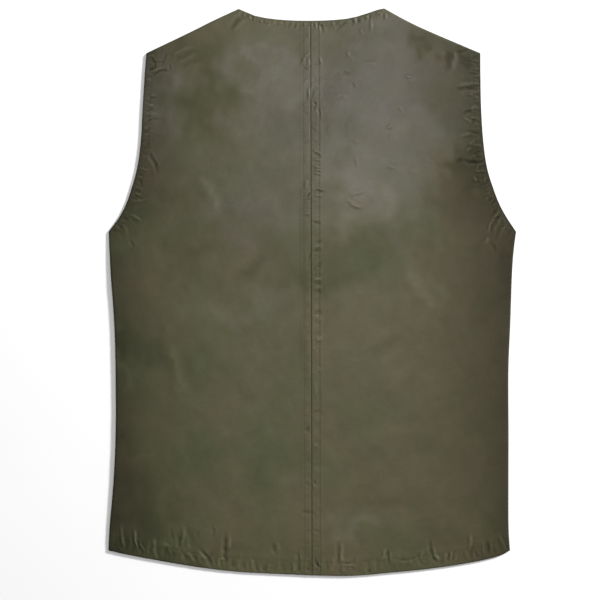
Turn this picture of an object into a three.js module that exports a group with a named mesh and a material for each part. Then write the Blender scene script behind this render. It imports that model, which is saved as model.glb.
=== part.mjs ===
// A leather vest laid flat on its two fronts, with the back up. Two back panels meet in a
// topstitched seam down the middle, two fronts lie under them, and the four are sewn at the
// sides and shoulders. Hem, armholes and neck are open edges with the leather turned under,
// and the sewing gathers them into short puckers.
//
// Millimetres. +X is to the right of someone who looks down at the back, +Y runs from the hem
// to the shoulders, and +Z is up. The origin is the middle of the underside.
import * as THREE from 'three';

// Sizes of the vest as it lies
const LENGTH = 724; // neck points to the lowest point of the hem
const CENTRE_SEAM = -1.05; // x of the seam down the middle of the back
const NECK_POINT = 93; // half the width of the neck
const FRONT_V_DEPTH = 235; // how far the fronts' V runs below the neck points

// Thicknesses and gaps
const BACK_WALL = 1.6;
const FRONT_WALL = 1.8;
const SEAM_GAP = 0.3; // between pieces that are sewn together or lie on each other
const LIP = 0.5; // height of a sewn wall's outer edge
const INSIDE_ROUND = 0.5; // least radius inside a sewn edge
const REST = FRONT_WALL + SEAM_GAP; // where the back's underside lies on the fronts

// The back stands off the fronts by this much once it is clear of the open edges
const LOFT = 2.8;
const LOFT_RUN = 38;
// Above the fronts' V nothing carries the back, so it sags
const SAG = 1.3;
const SAG_RUN = 55;
const SAG_FLATTENS = 0.45; // share of the loft that is lost there

// Turned edges: how wide the turned leather is, and how far it lifts the surface
const HEM_TURN = 19;
const ARMHOLE_TURN = 11;
const NECK_TURN = 8;
const TURN_LIFT = 0.5;
const TURN_STEP = 3;
const EDGE_ROUND = 1.2;
const EDGE_DROP = 0.7;

// Small gathers between each open edge and its stitching: the way from one to the next, how
// high they stand, and how far their spacing wanders
const HEM_GATHER = 11;
const ARMHOLE_GATHER = 13;
const NECK_GATHER = 10;
const GATHER_LIFT = 0.22;
const GATHER_WANDER = 1.3;
const GATHER_DRIFT = 31;

// Middle seam: the allowances are pressed open and stitched down on both sides
const SEAM_BAND = 10.5;
const SEAM_STEP = 3.5;
const SEAM_LIFT = 0.45;
const SEAM_RIDGE = 0.4; // the left panel's edge stands up beside the seam
const SEAM_VALLEY = 0.55;
const SEAM_CREASE = 1.6;

// The front edges are set in a little, so that the back hides them
const FRONT_HEM_RISE = 3;
const FRONT_ARMHOLE_IN = 4;
const FRONT_OPENING = 0.6; // half the gap between the two fronts
const FRONT_V_BOW = 4; // how far the V's edges bow outwards
const FRONT_POINTS = 13; // points along the hem and the armhole that are set in

// Side seam, from the hem up: height above the hem's lowest point, and how far the left and
// the right edge lie from the middle seam.
const SIDE = [
  { up: 32.5, left: 259.1, right: 253.4 },
  { up: 62, left: 257.5, right: 251.5 },
  { up: 122, left: 252.4, right: 251.3 },
  { up: 182, left: 249.7, right: 251.4 },
  { up: 262, left: 249.8, right: 251.2 },
  { up: 322, left: 251.5, right: 253.6 },
  { up: 382, left: 255.8, right: 255.7 },
  { up: 412, left: 257.5, right: 257.7 },
  { up: 439, left: 258.8, right: 261.2 },
];

// Armhole, from the underarm up to the shoulder tip, in the same columns.
const ARMHOLE = [
  { up: 439, left: 258.8, right: 261.2 },
  { up: 446, left: 253.4, right: 256.4 },
  { up: 458, left: 244.8, right: 248.6 },
  { up: 472, left: 237.4, right: 240.9 },
  { up: 489, left: 231.0, right: 233.9 },
  { up: 520, left: 222.4, right: 224.2 },
  { up: 555, left: 217.6, right: 219.2 },
  { up: 596, left: 215.3, right: 216.5 },
  { up: 637, left: 212.8, right: 215.6 },
  { up: 667, left: 210.5, right: 215.4 },
];

// Hem, from the middle seam outwards: its height above its lowest point on each side.
const HEM = [
  { out: 0, left: 0.8, right: 0.8 },
  { out: 50, left: 3.0, right: 0.2 },
  { out: 100, left: 5.9, right: 4.2 },
  { out: 150, left: 12.1, right: 9.2 },
  { out: 200, left: 20.6, right: 16.6 },
  { out: 236, left: 27.4, right: 24.6 },
];

// Back neck, from the middle seam out to the neck point.
const NECK = [
  { out: 0, left: 708.4, right: 708.4 },
  { out: 25, left: 708.8, right: 709.2 },
  { out: 50, left: 710.7, right: 711.8 },
  { out: 70, left: 714.0, right: 717.4 },
  { out: 84, left: 719.4, right: 722.0 },
  { out: 93, left: 723.4, right: 724.0 },
];

// Shoulder seam, from the neck point to the shoulder tip.
const SHOULDER = [
  { out: 93, left: 723.4, right: 724.0 },
  { out: 125, left: 708.4, right: 706.4 },
  { out: 157, left: 692.4, right: 691.6 },
];

// Broad swells of the back: middle, how far each reaches, and how far it lifts or dips.
const SWELLS = [
  { x: -120, y: 235, reach: 60, lift: 0.5 },
  { x: 95, y: 215, reach: 75, lift: 0.6 },
  { x: -60, y: 120, reach: 55, lift: -0.5 },
  { x: 150, y: 60, reach: 60, lift: -0.6 },
  { x: 55, y: -20, reach: 60, lift: 0.4 },
  { x: -150, y: 10, reach: 65, lift: 0.5 },
  { x: -85, y: -110, reach: 70, lift: -0.4 },
  { x: 110, y: -130, reach: 80, lift: 0.4 },
  { x: -175, y: -200, reach: 55, lift: -0.6 },
  { x: 40, y: -262, reach: 60, lift: -0.4 },
  { x: -60, y: -285, reach: 45, lift: 0.4 },
];

// Puckers and creases of the back: each runs from (x, y) to (toX, toY), so wide across, and
// stands up or sinks in by its lift.
const FOLDS = [
  // along the hem, from left to right
  { x: -242, y: -330, toX: -243, toY: -293, width: 3.0, lift: 0.6 },
  { x: -226, y: -332, toX: -227, toY: -299, width: 3.0, lift: 0.6 },
  { x: -212, y: -334, toX: -218, toY: -314, width: 3.0, lift: 0.5 },
  { x: -196, y: -336, toX: -199, toY: -306, width: 3.0, lift: -0.6 },
  { x: -181, y: -339, toX: -190, toY: -318, width: 3.0, lift: 0.6 },
  { x: -172, y: -336, toX: -172, toY: -307, width: 3.0, lift: -0.7 },
  { x: -164, y: -334, toX: -166, toY: -296, width: 3.2, lift: 0.8 },
  { x: -155, y: -342, toX: -158, toY: -308, width: 3.0, lift: 0.5 },
  { x: -128, y: -351, toX: -151, toY: -324, width: 3.6, lift: -0.9 },
  { x: -120, y: -336, toX: -129, toY: -295, width: 3.0, lift: -0.6 },
  { x: -110, y: -350, toX: -111, toY: -302, width: 3.2, lift: -0.9 },
  { x: -104, y: -348, toX: -105, toY: -306, width: 3.0, lift: 0.7 },
  { x: -75, y: -356, toX: -76, toY: -340, width: 3.0, lift: -0.5 },
  { x: -64, y: -357, toX: -65, toY: -339, width: 3.0, lift: 0.5 },
  { x: -43, y: -356, toX: -45, toY: -318, width: 3.0, lift: -0.6 },
  { x: -18, y: -358, toX: -20, toY: -318, width: 3.2, lift: 0.5 },
  { x: 19, y: -358, toX: 17, toY: -340, width: 3.0, lift: -0.5 },
  { x: 34, y: -358, toX: 35, toY: -318, width: 3.0, lift: -0.6 },
  { x: 40, y: -357, toX: 38, toY: -322, width: 3.0, lift: 0.5 },
  { x: 72, y: -357, toX: 72, toY: -342, width: 3.0, lift: -0.5 },
  { x: 96, y: -354, toX: 90, toY: -320, width: 3.2, lift: -0.8 },
  { x: 101, y: -353, toX: 99, toY: -326, width: 3.0, lift: 0.6 },
  { x: 138, y: -349, toX: 143, toY: -320, width: 3.0, lift: 0.6 },
  { x: 158, y: -346, toX: 148, toY: -313, width: 3.2, lift: -0.8 },
  { x: 168, y: -346, toX: 168, toY: -326, width: 3.0, lift: 0.5 },
  { x: 175, y: -345, toX: 174, toY: -325, width: 3.0, lift: -0.6 },
  { x: 182, y: -344, toX: 182, toY: -325, width: 3.0, lift: 0.5 },
  { x: 199, y: -340, toX: 199, toY: -308, width: 3.2, lift: 0.5 },
  { x: 226, y: -336, toX: 222, toY: -312, width: 3.2, lift: -0.5 },
  // round the left armhole, from the shoulder down
  { x: -213, y: 273, toX: -181, toY: 281, width: 3.6, lift: -0.8 },
  { x: -214, y: 245, toX: -196, toY: 247, width: 3.6, lift: -0.8 },
  { x: -215, y: 232, toX: -197, toY: 235, width: 3.6, lift: 0.6 },
  { x: -216, y: 216, toX: -190, toY: 221, width: 3.6, lift: -0.7 },
  { x: -217, y: 203, toX: -202, toY: 205, width: 3.6, lift: 0.5 },
  { x: -218, y: 190, toX: -204, toY: 192, width: 3.6, lift: -0.5 },
  { x: -216, y: 178, toX: -196, toY: 149, width: 4.2, lift: -0.9 },
  { x: -230, y: 121, toX: -214, toY: 112, width: 3.8, lift: 0.6 },
  { x: -238, y: 101, toX: -216, toY: 89, width: 3.8, lift: 0.7 },
  { x: -253, y: 78, toX: -236, toY: 92, width: 3.8, lift: -0.6 },
  // round the right armhole, from the shoulder down
  { x: 198, y: 309, toX: 180, toY: 305, width: 3.6, lift: -0.7 },
  { x: 175, y: 316, toX: 166, toY: 274, width: 5.5, lift: -0.7 },
  { x: 214, y: 257, toX: 174, toY: 254, width: 3.8, lift: -0.8 },
  { x: 214, y: 236, toX: 198, toY: 232, width: 3.6, lift: -0.6 },
  { x: 214, y: 221, toX: 196, toY: 216, width: 3.6, lift: 0.6 },
  { x: 215, y: 192, toX: 192, toY: 183, width: 3.6, lift: -0.6 },
  { x: 218, y: 166, toX: 178, toY: 171, width: 4.0, lift: -0.8 },
  { x: 224, y: 146, toX: 202, toY: 132, width: 3.8, lift: -0.6 },
  { x: 241, y: 104, toX: 222, toY: 77, width: 4.0, lift: -0.9 },
  { x: 240, y: 84, toX: 225, toY: 61, width: 4.0, lift: 0.7 },
  // along the neck and the shoulders
  { x: 11, y: 346, toX: 12, toY: 329, width: 3.4, lift: -0.6 },
  { x: 38, y: 348, toX: 32, toY: 334, width: 3.4, lift: -0.5 },
  { x: 61, y: 353, toX: 63, toY: 335, width: 3.4, lift: -0.6 },
  { x: 76, y: 357, toX: 79, toY: 332, width: 3.4, lift: 0.6 },
  { x: -78, y: 355, toX: -76, toY: 342, width: 3.4, lift: -0.5 },
  { x: -88, y: 354, toX: -108, toY: 329, width: 4.5, lift: -0.7 },
];
const FOLD_DEEPEST = -0.9; // where folds cross, they go no deeper and no higher than this
const FOLD_HIGHEST = 1;
const FOLD_REACH = 3; // widths from a fold's line at which it has died away

// How finely the walls are drawn, as distances in from an edge
const NEAR_SEWN = [0, 0.4, 1.6, 2.5, 3.6]; // steps of the rounded edge
const NEAR_SIDE = [...NEAR_SEWN, 7.5, 11, 14.5, 20, 28];
const NEAR_SEAM = [0, 1.6, 3.6, 10.5, 14];
const NEAR_HEM = [0, 1.2, 5, 10, 15, 19, 22.5, 28, 35, 43, 54];
const NEAR_TOP = [0, 0.4, 1.6, 2.5, 3.6, 8, 11, 16, 24];
const HEM_COLUMN = 3.4;
const TOP_COLUMN = 7;
const BODY_COLUMN = 34;
const BODY_ROW = 24;
const ARMHOLE_ROW = 5;
const EDGE_SAMPLES = 90;
const LEAST_ROW = 0.2; // rows closer than this are one
const KEPT_CLEAR = 0.45; // share of an even step that a kept column holds clear
const BAND_MARGIN = 1; // how far the close columns run past the last row of an edge

// The same on a wall's plain inside and on the fronts, where only the outline and the loft count
const PLAIN_SIDE = [...NEAR_SEWN, 14, 32];
const PLAIN_HEM = [0, 9, 22, 42];
const PLAIN_TOP = [...NEAR_SEWN, 12, 28];
const PLAIN_ARMHOLE = [0, 6, 13, 21, 30, 42, 58, 80, 110, 150]; // up from the underarm
const PLAIN_COLUMN = 62;
const PLAIN_ROW = 60;
const NECK_COLUMNS = 3;
const SHOULDER_COLUMNS = 5;

const smoothstep = (t) => THREE.MathUtils.smoothstep(t, 0, 1);
const bump = (t) => Math.exp(-t * t);

// A smooth edge through the points of a table, by the share of its length.
const edgeThrough = (points) => {
  const curve = new THREE.SplineCurve(points);
  curve.arcLengthDivisions = 400;
  return curve;
};

// The five edges of one half of the back, seen from above. side is -1 on the left, 1 on the right.
function backEdges(side) {
  const name = side < 0 ? 'left' : 'right';
  const seam = CENTRE_SEAM + (side * SEAM_GAP) / 2;
  const place = (out, up) => new THREE.Vector2(out === 0 ? seam : CENTRE_SEAM + side * out, up - LENGTH / 2);
  const upright = (rows) => rows.map((row) => place(row[name], row.up));
  const level = (rows) => rows.map((row) => place(row.out, row[name]));
  return {
    hem: edgeThrough([...level(HEM), upright(SIDE)[0]]),
    side: edgeThrough(upright(SIDE)),
    armhole: edgeThrough(upright(ARMHOLE)),
    neck: edgeThrough(level(NECK)),
    shoulder: edgeThrough([...level(SHOULDER), upright(ARMHOLE).at(-1)]),
  };
}

const BACK = { left: backEdges(-1), right: backEdges(1) };

// The same edges for one front: hem and armhole lie inside the back's, and the neck is a V.
function frontEdges(side) {
  const back = side < 0 ? BACK.left : BACK.right;
  const inner = CENTRE_SEAM + side * FRONT_OPENING;
  const samples = Array.from({ length: FRONT_POINTS }, (_, i) => i / (FRONT_POINTS - 1));
  const hem = samples.map((t) => {
    const point = back.hem.getPointAt(t);
    point.y += FRONT_HEM_RISE * (1 - t ** 4);
    if (t === 0) point.x = inner;
    return point;
  });
  const armhole = samples.map((t) => {
    const point = back.armhole.getPointAt(t);
    point.x -= side * FRONT_ARMHOLE_IN * Math.sin(Math.PI * t) ** 0.7;
    return point;
  });
  const neckPoint = back.shoulder.getPointAt(0);
  const foot = new THREE.Vector2(inner, neckPoint.y - FRONT_V_DEPTH);
  const bow = new THREE.Vector2().lerpVectors(foot, neckPoint, 0.5);
  bow.x += side * FRONT_V_BOW;
  return {
    hem: edgeThrough(hem),
    side: back.side,
    armhole: edgeThrough(armhole),
    neck: edgeThrough([foot, bow, neckPoint]),
    shoulder: back.shoulder,
  };
}

const polyline = (curve) => curve.getSpacedPoints(EDGE_SAMPLES);
const bothSides = (edge) => [polyline(BACK.left[edge]), polyline(BACK.right[edge])];
const LINES = Object.fromEntries(
  ['hem', 'side', 'armhole', 'neck', 'shoulder'].map((edge) => [edge, bothSides(edge)]),
);

// Shortest distance from a point to a line of straight stretches from a to b.
function stretchDistance(p, a, b) {
  const run = b.clone().sub(a);
  const t = THREE.MathUtils.clamp(p.clone().sub(a).dot(run) / run.lengthSq(), 0, 1);
  return p.distanceTo(run.multiplyScalar(t).add(a));
}

// Shortest distance from a point to any of several lines.
function lineDistance(p, lines) {
  let least = Infinity;
  for (const line of lines)
    for (let i = 1; i < line.length; i += 1) least = Math.min(least, stretchDistance(p, line[i - 1], line[i]));
  return least;
}

// How far inside the fronts' V a point lies, or 0 outside it.
function insideV(p) {
  const foot = LENGTH / 2 - FRONT_V_DEPTH;
  const half = (NECK_POINT * (p.y - foot)) / FRONT_V_DEPTH;
  return Math.max(0, half - Math.abs(p.x - CENTRE_SEAM));
}

// Height of the back's plain underside: it lies on the fronts at its open edges and lofts up
// inside them.
function bed(p, open) {
  const lofted = 1 - Math.exp(-open / LOFT_RUN);
  const sag = smoothstep(insideV(p) / SAG_RUN);
  const swell = SWELLS.reduce((sum, s) => sum + s.lift * bump(Math.hypot(p.x - s.x, p.y - s.y) / s.reach), 0);
  return REST + (LOFT * (1 - SAG_FLATTENS * sag) + swell) * lofted - SAG * sag;
}

// How high a quarter-round edge stands at this distance in, from 0 at the edge to 1.
const quarterRound = (d, radius) => Math.sqrt(Math.max(0, 1 - (1 - Math.min(d, radius) / radius) ** 2));

// Everything about the height of the layers at one place.
function layersAt(p) {
  const hem = lineDistance(p, LINES.hem);
  const armhole = lineDistance(p, LINES.armhole);
  const neck = lineDistance(p, LINES.neck);
  const open = Math.min(hem, armhole, neck);
  const sewn = Math.min(lineDistance(p, LINES.side), lineDistance(p, LINES.shoulder));
  const under = bed(p, open);
  const middle = (under + BACK_WALL) / 2; // height of the side and shoulder seams
  const inner = Math.max(INSIDE_ROUND, middle - BACK_WALL);
  const turned = sewn <= BACK_WALL ? 1 : 1 - quarterRound(sewn - BACK_WALL, inner);
  return { hem, armhole, neck, open, sewn, under, middle, turned };
}

const FOLD_LINES = FOLDS.map((fold) => ({
  ...fold, from: new THREE.Vector2(fold.x, fold.y), to: new THREE.Vector2(fold.toX, fold.toY),
}));

// Height of the puckers and creases at a place.
function foldsAt(p) {
  let height = 0;
  for (const fold of FOLD_LINES) {
    const away = stretchDistance(p, fold.from, fold.to) / fold.width;
    if (away < FOLD_REACH) height += fold.lift * bump(away);
  }
  return THREE.MathUtils.clamp(height, FOLD_DEEPEST, FOLD_HIGHEST);
}

// Height of the turned leather and its gathers along one kind of open edge.
function turnedEdge(distance, width, along, spacing) {
  const within = 1 - smoothstep((distance - width) / TURN_STEP);
  const phase = (2 * Math.PI * along) / spacing + GATHER_WANDER * Math.sin(along / GATHER_DRIFT);
  return within * (TURN_LIFT + GATHER_LIFT * Math.cos(phase) * (1 - distance / (width + TURN_STEP)));
}

// Height of the middle seam: its flat band, and the left panel's edge beside the crease.
function seamAt(off) {
  const band = SEAM_LIFT * (1 - smoothstep((Math.abs(off) - SEAM_BAND) / SEAM_STEP));
  const ridge = off < 0 ? SEAM_RIDGE * bump((off + SEAM_CREASE) / SEAM_CREASE) : 0;
  return band + ridge - SEAM_VALLEY * bump(off / SEAM_CREASE);
}

// Relief of the back's outer face.
function relief(p, at) {
  const hem = turnedEdge(at.hem, HEM_TURN, p.x, HEM_GATHER);
  const armhole = turnedEdge(at.armhole, ARMHOLE_TURN, p.y, ARMHOLE_GATHER);
  const neck = turnedEdge(at.neck, NECK_TURN, p.x, NECK_GATHER);
  return Math.max(hem, armhole, neck) + seamAt(p.x - CENTRE_SEAM) + foldsAt(p);
}

// Heights of the two faces of the back and of the fronts. Towards a sewn edge the back turns
// down and the fronts turn up, and they meet in the middle.
const backOuter = (p) => {
  const at = layersAt(p);
  const top = at.under + BACK_WALL + relief(p, at);
  const risen = quarterRound(at.sewn, at.middle);
  const drop = EDGE_DROP * (1 - quarterRound(at.open, EDGE_ROUND));
  return THREE.MathUtils.lerp(at.middle + SEAM_GAP / 2 + LIP, top - drop, risen);
};
const backInner = (p) => {
  const at = layersAt(p);
  return THREE.MathUtils.lerp(at.under, at.middle + SEAM_GAP / 2, at.turned);
};
const frontInner = (p) => {
  const at = layersAt(p);
  return THREE.MathUtils.lerp(FRONT_WALL, at.middle - SEAM_GAP / 2, at.turned);
};
const frontOuter = (p) => {
  const at = layersAt(p);
  return (at.middle - SEAM_GAP / 2 - LIP) * (1 - quarterRound(at.sewn, at.middle));
};

// The plan of one panel as a function of u, from the middle out, and v, from the hem up. The
// hem, the upper edge, the middle line and the outer edge are blended across it.
function planOf(edges) {
  const joined = (first, second) => {
    const share = first.getLength() / (first.getLength() + second.getLength());
    const at = (t) => (t <= share ? first.getPointAt(t / share) : second.getPointAt((t - share) / (1 - share)));
    return { share, at };
  };
  const outer = joined(edges.side, edges.armhole);
  const upper = joined(edges.neck, edges.shoulder);
  const hemAt = (t) => edges.hem.getPointAt(t);
  const [foot, head] = [hemAt(0), upper.at(0)];
  const [footOut, headOut] = [hemAt(1), upper.at(1)];
  const at = (u, v) => {
    const mix = (a, b, t) => a.clone().lerp(b, t);
    const acrossV = mix(hemAt(u), upper.at(u), v);
    const acrossU = mix(mix(foot, head, v), outer.at(v), u);
    const corners = mix(mix(foot, footOut, u), mix(head, headOut, u), v);
    return acrossV.add(acrossU).sub(corners);
  };
  const height = edges.side.getLength() + edges.armhole.getLength();
  const width = (v) => at(0, v).distanceTo(at(1, v));
  return { at, height, width, armpit: outer.share, neckPoint: upper.share };
}

// Shares from 0 to 1 along a span: set distances in from each end, and even steps between.
function steps(span, start, end, even, keep = []) {
  const low = start.map((d) => d / span);
  const high = end.map((d) => 1 - d / span);
  const [from, to] = [Math.max(...low), Math.min(...high)];
  const count = Math.max(1, Math.round(((to - from) * span) / even));
  const middle = Array.from({ length: count - 1 }, (_, i) => from + ((to - from) * (i + 1)) / count);
  const near = (t) => keep.some((k) => Math.abs(k - t) * span < even * KEPT_CLEAR);
  const all = [...low, ...middle.filter((t) => !near(t)), ...keep, ...high];
  return [...new Set(all)].sort((a, b) => a - b);
}

// Shares of the upper edge that its columns stand at: even steps along the neck, then the shoulder.
function upperShares(neckPoint) {
  const along = (count) => Array.from({ length: count }, (_, i) => (i + 1) / count);
  const neck = along(NECK_COLUMNS).map((t) => neckPoint * t);
  const shoulder = along(SHOULDER_COLUMNS).map((t) => neckPoint + (1 - neckPoint) * t);
  return [...neck, ...shoulder.slice(0, -1)];
}

// Puts the steps of the side seam and those of the armhole above it into one list of v.
function joinRows(plan, low, high) {
  const above = (t) => plan.armpit + t * (1 - plan.armpit);
  const all = [...low.map((t) => t * plan.armpit), ...high.map(above)].sort((a, b) => a - b);
  return all.filter((v, i) => i === 0 || (v - all[i - 1]) * plan.height > LEAST_ROW);
}

// The rows of a plain face. Each row has its own v and its own list of u.
function plainRows(plan) {
  const side = plan.height * plan.armpit;
  const armhole = plan.height - side;
  const low = steps(side, PLAIN_HEM, [0], PLAIN_ROW);
  const high = steps(armhole, PLAIN_ARMHOLE, PLAIN_TOP, PLAIN_ROW);
  const keep = upperShares(plan.neckPoint);
  return joinRows(plan, low, high).map((v) => ({ v, us: steps(plan.width(v), [0], PLAIN_SIDE, PLAIN_COLUMN, keep) }));
}

// The rows of the back's outer face, with close columns where the hem and the upper edge pucker.
function fineRows(plan) {
  const side = plan.height * plan.armpit;
  const armhole = plan.height - side;
  const low = steps(side, NEAR_HEM, [0], BODY_ROW);
  const high = steps(armhole, [0], NEAR_TOP, ARMHOLE_ROW);
  const hemBand = (NEAR_HEM.at(-1) + BAND_MARGIN) / plan.height;
  const topBand = 1 - (NEAR_TOP.at(-1) + BAND_MARGIN) / plan.height;
  return joinRows(plan, low, high).map((v) => {
    if (v < hemBand) return { v, us: steps(plan.width(v), NEAR_SEAM, NEAR_SEWN, HEM_COLUMN) };
    if (v > topBand) return { v, us: steps(plan.width(v), NEAR_SEAM, NEAR_SEWN, TOP_COLUMN, [plan.neckPoint]) };
    return { v, us: steps(plan.width(v), NEAR_SEAM, NEAR_SIDE, BODY_COLUMN) };
  });
}

// Fills the strip between two lines of vertices that run the same way, each with its own
// spacing. The faces look along (the way of the lines) x (from the first to the second).
function fillBetween(faces, first, second) {
  let [i, j] = [0, 0];
  while (i < first.length - 1 || j < second.length - 1) {
    const ahead = j === second.length - 1 || (i < first.length - 1 && first[i + 1].t <= second[j + 1].t);
    if (ahead) {
      faces.push([first[i].index, first[i + 1].index, second[j].index]);
      i += 1;
    } else {
      faces.push([first[i].index, second[j + 1].index, second[j].index]);
      j += 1;
    }
  }
}

// A closed wall over a plan, from the heights of its upper and its lower face.
function wall(plan, side, upperRows, lowerRows, upperHeight, lowerHeight) {
  const points = [];
  const faces = [];
  const face = (rows, height) =>
    rows.map(({ v, us }) =>
      us.map((u) => {
        const p = plan.at(u, v);
        points.push(p.x, p.y, height(p));
        return { t: u, v, index: points.length / 3 - 1 };
      }),
    );
  const upper = face(upperRows, upperHeight);
  const lower = face(lowerRows, lowerHeight);
  for (let i = 1; i < upper.length; i += 1) fillBetween(faces, upper[i - 1], upper[i]);
  for (let i = 1; i < lower.length; i += 1) fillBetween(faces, lower[i], lower[i - 1]);
  const column = (rows, end) => rows.map((row) => ({ t: row.at(end).v, index: row.at(end).index }));
  fillBetween(faces, lower[0], upper[0]);
  fillBetween(faces, upper.at(-1), lower.at(-1));
  fillBetween(faces, column(lower, -1), column(upper, -1));
  fillBetween(faces, column(upper, 0), column(lower, 0));
  const order = side > 0 ? faces : faces.map(([a, b, c]) => [a, c, b]);
  const geometry = new THREE.BufferGeometry();
  geometry.setAttribute('position', new THREE.Float32BufferAttribute(points, 3));
  geometry.setIndex(order.flat());
  geometry.computeVertexNormals();
  return geometry;
}

const leather = () => new THREE.MeshStandardMaterial({ color: 0x5a5644, roughness: 0.5, metalness: 0 });

function backPanel(name, side) {
  const plan = planOf(side < 0 ? BACK.left : BACK.right);
  const geometry = wall(plan, side, fineRows(plan), plainRows(plan), backOuter, backInner);
  const mesh = new THREE.Mesh(geometry, leather());
  mesh.name = name;
  return mesh;
}

function frontPanel(name, side) {
  const plan = planOf(frontEdges(side));
  const rows = plainRows(plan);
  const mesh = new THREE.Mesh(wall(plan, side, rows, rows, frontInner, frontOuter), leather());
  mesh.name = name;
  return mesh;
}

const vest = new THREE.Group();
vest.add(backPanel('back_left', -1), backPanel('back_right', 1));
vest.add(frontPanel('front_left', -1), frontPanel('front_right', 1));

export default vest;
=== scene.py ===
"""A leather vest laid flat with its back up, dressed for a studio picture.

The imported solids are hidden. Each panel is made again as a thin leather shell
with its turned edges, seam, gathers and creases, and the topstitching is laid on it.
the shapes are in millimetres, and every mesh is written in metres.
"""

from __future__ import annotations

import logging
import math
from collections.abc import Iterator, Mapping, Sequence
from dataclasses import dataclass
from enum import Enum
from functools import cached_property
from typing import Any, NamedTuple

import bpy
import numpy as np
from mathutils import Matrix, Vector


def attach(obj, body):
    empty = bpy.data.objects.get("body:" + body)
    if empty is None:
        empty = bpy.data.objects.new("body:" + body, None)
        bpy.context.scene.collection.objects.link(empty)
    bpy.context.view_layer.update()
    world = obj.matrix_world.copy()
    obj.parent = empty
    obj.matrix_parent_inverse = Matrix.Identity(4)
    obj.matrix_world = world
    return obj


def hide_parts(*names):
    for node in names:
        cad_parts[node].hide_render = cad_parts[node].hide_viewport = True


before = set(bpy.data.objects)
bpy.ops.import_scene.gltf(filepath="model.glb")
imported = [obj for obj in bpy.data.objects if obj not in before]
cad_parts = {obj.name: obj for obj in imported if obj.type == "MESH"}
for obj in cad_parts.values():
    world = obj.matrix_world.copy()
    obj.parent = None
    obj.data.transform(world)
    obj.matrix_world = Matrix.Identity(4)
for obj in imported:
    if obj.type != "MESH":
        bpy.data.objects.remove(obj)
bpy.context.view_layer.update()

LOG = logging.getLogger("vest")
MM = 0.001
BODY = "root"
Colour = tuple[float, float, float]
Span = tuple[float, float]

# Sizes of the vest as it lies, in millimetres
LENGTH = 724.0
CENTRE_SEAM = -1.05
SEAM_SHIFT = -0.4
SEAM_LEAN = 1.9
NECK_POINT = 93.0
FRONT_V_DEPTH = 235.0
BACK_WALL = 1.6
FRONT_WALL = 1.8
LAYER_GAP = 0.3
SEAM_GAP = 0.06
STITCH_PITCH = 4.3
PATH_POINTS = 161
CURVE_STEPS = 8
PLACES_AT_ONCE = 8000


class Side(Enum):
    """The two halves, as seen by someone who looks down at the back."""

    LEFT = -1
    RIGHT = 1

    @property
    def word(self) -> str:
        """The half's name in lower case."""
        return self.name.lower()


class EdgeRow(NamedTuple):
    """One point of an edge, for both halves.

    On an upright edge, at is the height over the hem's lowest point, and left and right are the
    ways out from the seam. On a level edge, at is the way out, and left and right are the heights.
    """

    at: float
    left: float
    right: float


def edge_rows(*rows: tuple[float, float, float]) -> tuple[EdgeRow, ...]:
    """The points of one edge."""
    return tuple(EdgeRow(*row) for row in rows)


SIDE_ROWS = edge_rows(
    (32.5, 259.1, 253.4), (62, 257.5, 251.5), (122, 252.4, 251.3), (182, 249.7, 251.4),
    (262, 249.8, 251.2), (322, 251.5, 253.6), (382, 255.8, 255.7), (412, 257.5, 257.7),
    (439, 258.8, 261.2),
)
ARMHOLE_ROWS = edge_rows(
    (439, 258.8, 261.2), (446, 253.4, 256.4), (458, 244.8, 248.6), (472, 237.4, 240.9),
    (489, 231.0, 233.9), (520, 222.4, 224.2), (555, 217.6, 219.2), (596, 215.3, 216.5),
    (637, 212.8, 215.6), (667, 210.5, 215.4),
)
HEM_ROWS = edge_rows(
    (0, 0.8, 0.8), (50, 3.0, 0.2), (100, 5.9, 4.2), (150, 12.1, 9.2), (200, 20.6, 16.6),
    (236, 27.4, 24.6),
)
NECK_ROWS = edge_rows(
    (0, 708.4, 708.4), (25, 708.8, 709.2), (50, 710.7, 711.8), (70, 714.0, 717.4),
    (84, 719.4, 722.0), (93, 723.4, 724.0),
)
SHOULDER_ROWS = edge_rows(
    (93, 723.4, 724.0), (125, 708.4, 706.4), (157, 692.4, 691.6),
)


def smooth(t: np.ndarray) -> np.ndarray:
    """A soft step: 0 up to 0, 1 from 1 on, and 3t² - 2t³ between."""
    t = np.clip(t, 0.0, 1.0)
    return t * t * (3.0 - 2.0 * t)


def bell(t: np.ndarray) -> np.ndarray:
    """A bell curve, e to the power of -t²."""
    return np.exp(-t * t)


def quarter_round(distance: np.ndarray, radius: np.ndarray | float) -> np.ndarray:
    """How high a quarter of a circle stands at a distance in from its edge.

    Args:
        distance: Way in from the edge.
        radius: The circle's radius.

    Returns:
        The height from 0 to 1: the root of 1 - (1 - distance / radius)².
    """
    share = 1.0 - np.clip(distance / radius, 0.0, 1.0)
    return np.sqrt(np.maximum(0.0, 1.0 - share * share))


@dataclass(frozen=True)
class Noise:
    """Smooth unevenness: a sum of cosine waves that run in random directions.

    wavelength is the usual way from crest to crest, which is drawn for each wave between two shares
    of it, and seed is the start of the random draws.
    """

    wavelength: float
    seed: int
    waves: int = 28
    shares: tuple[float, float] = (0.6, 1.6)

    def at(self, places: np.ndarray) -> np.ndarray:
        """The unevenness at points in the plan, one a row, with a mean of 0 and a spread of 1."""
        draw = np.random.default_rng(self.seed)
        angle = draw.uniform(0.0, 2.0 * math.pi, self.waves)
        turns = 2.0 * math.pi / (self.wavelength * draw.uniform(*self.shares, self.waves))
        phase = draw.uniform(0.0, 2.0 * math.pi, self.waves)
        vectors = np.stack([np.cos(angle) * turns, np.sin(angle) * turns])
        return np.cos(places @ vectors + phase).sum(axis=1) * math.sqrt(2.0 / self.waves)


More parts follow.
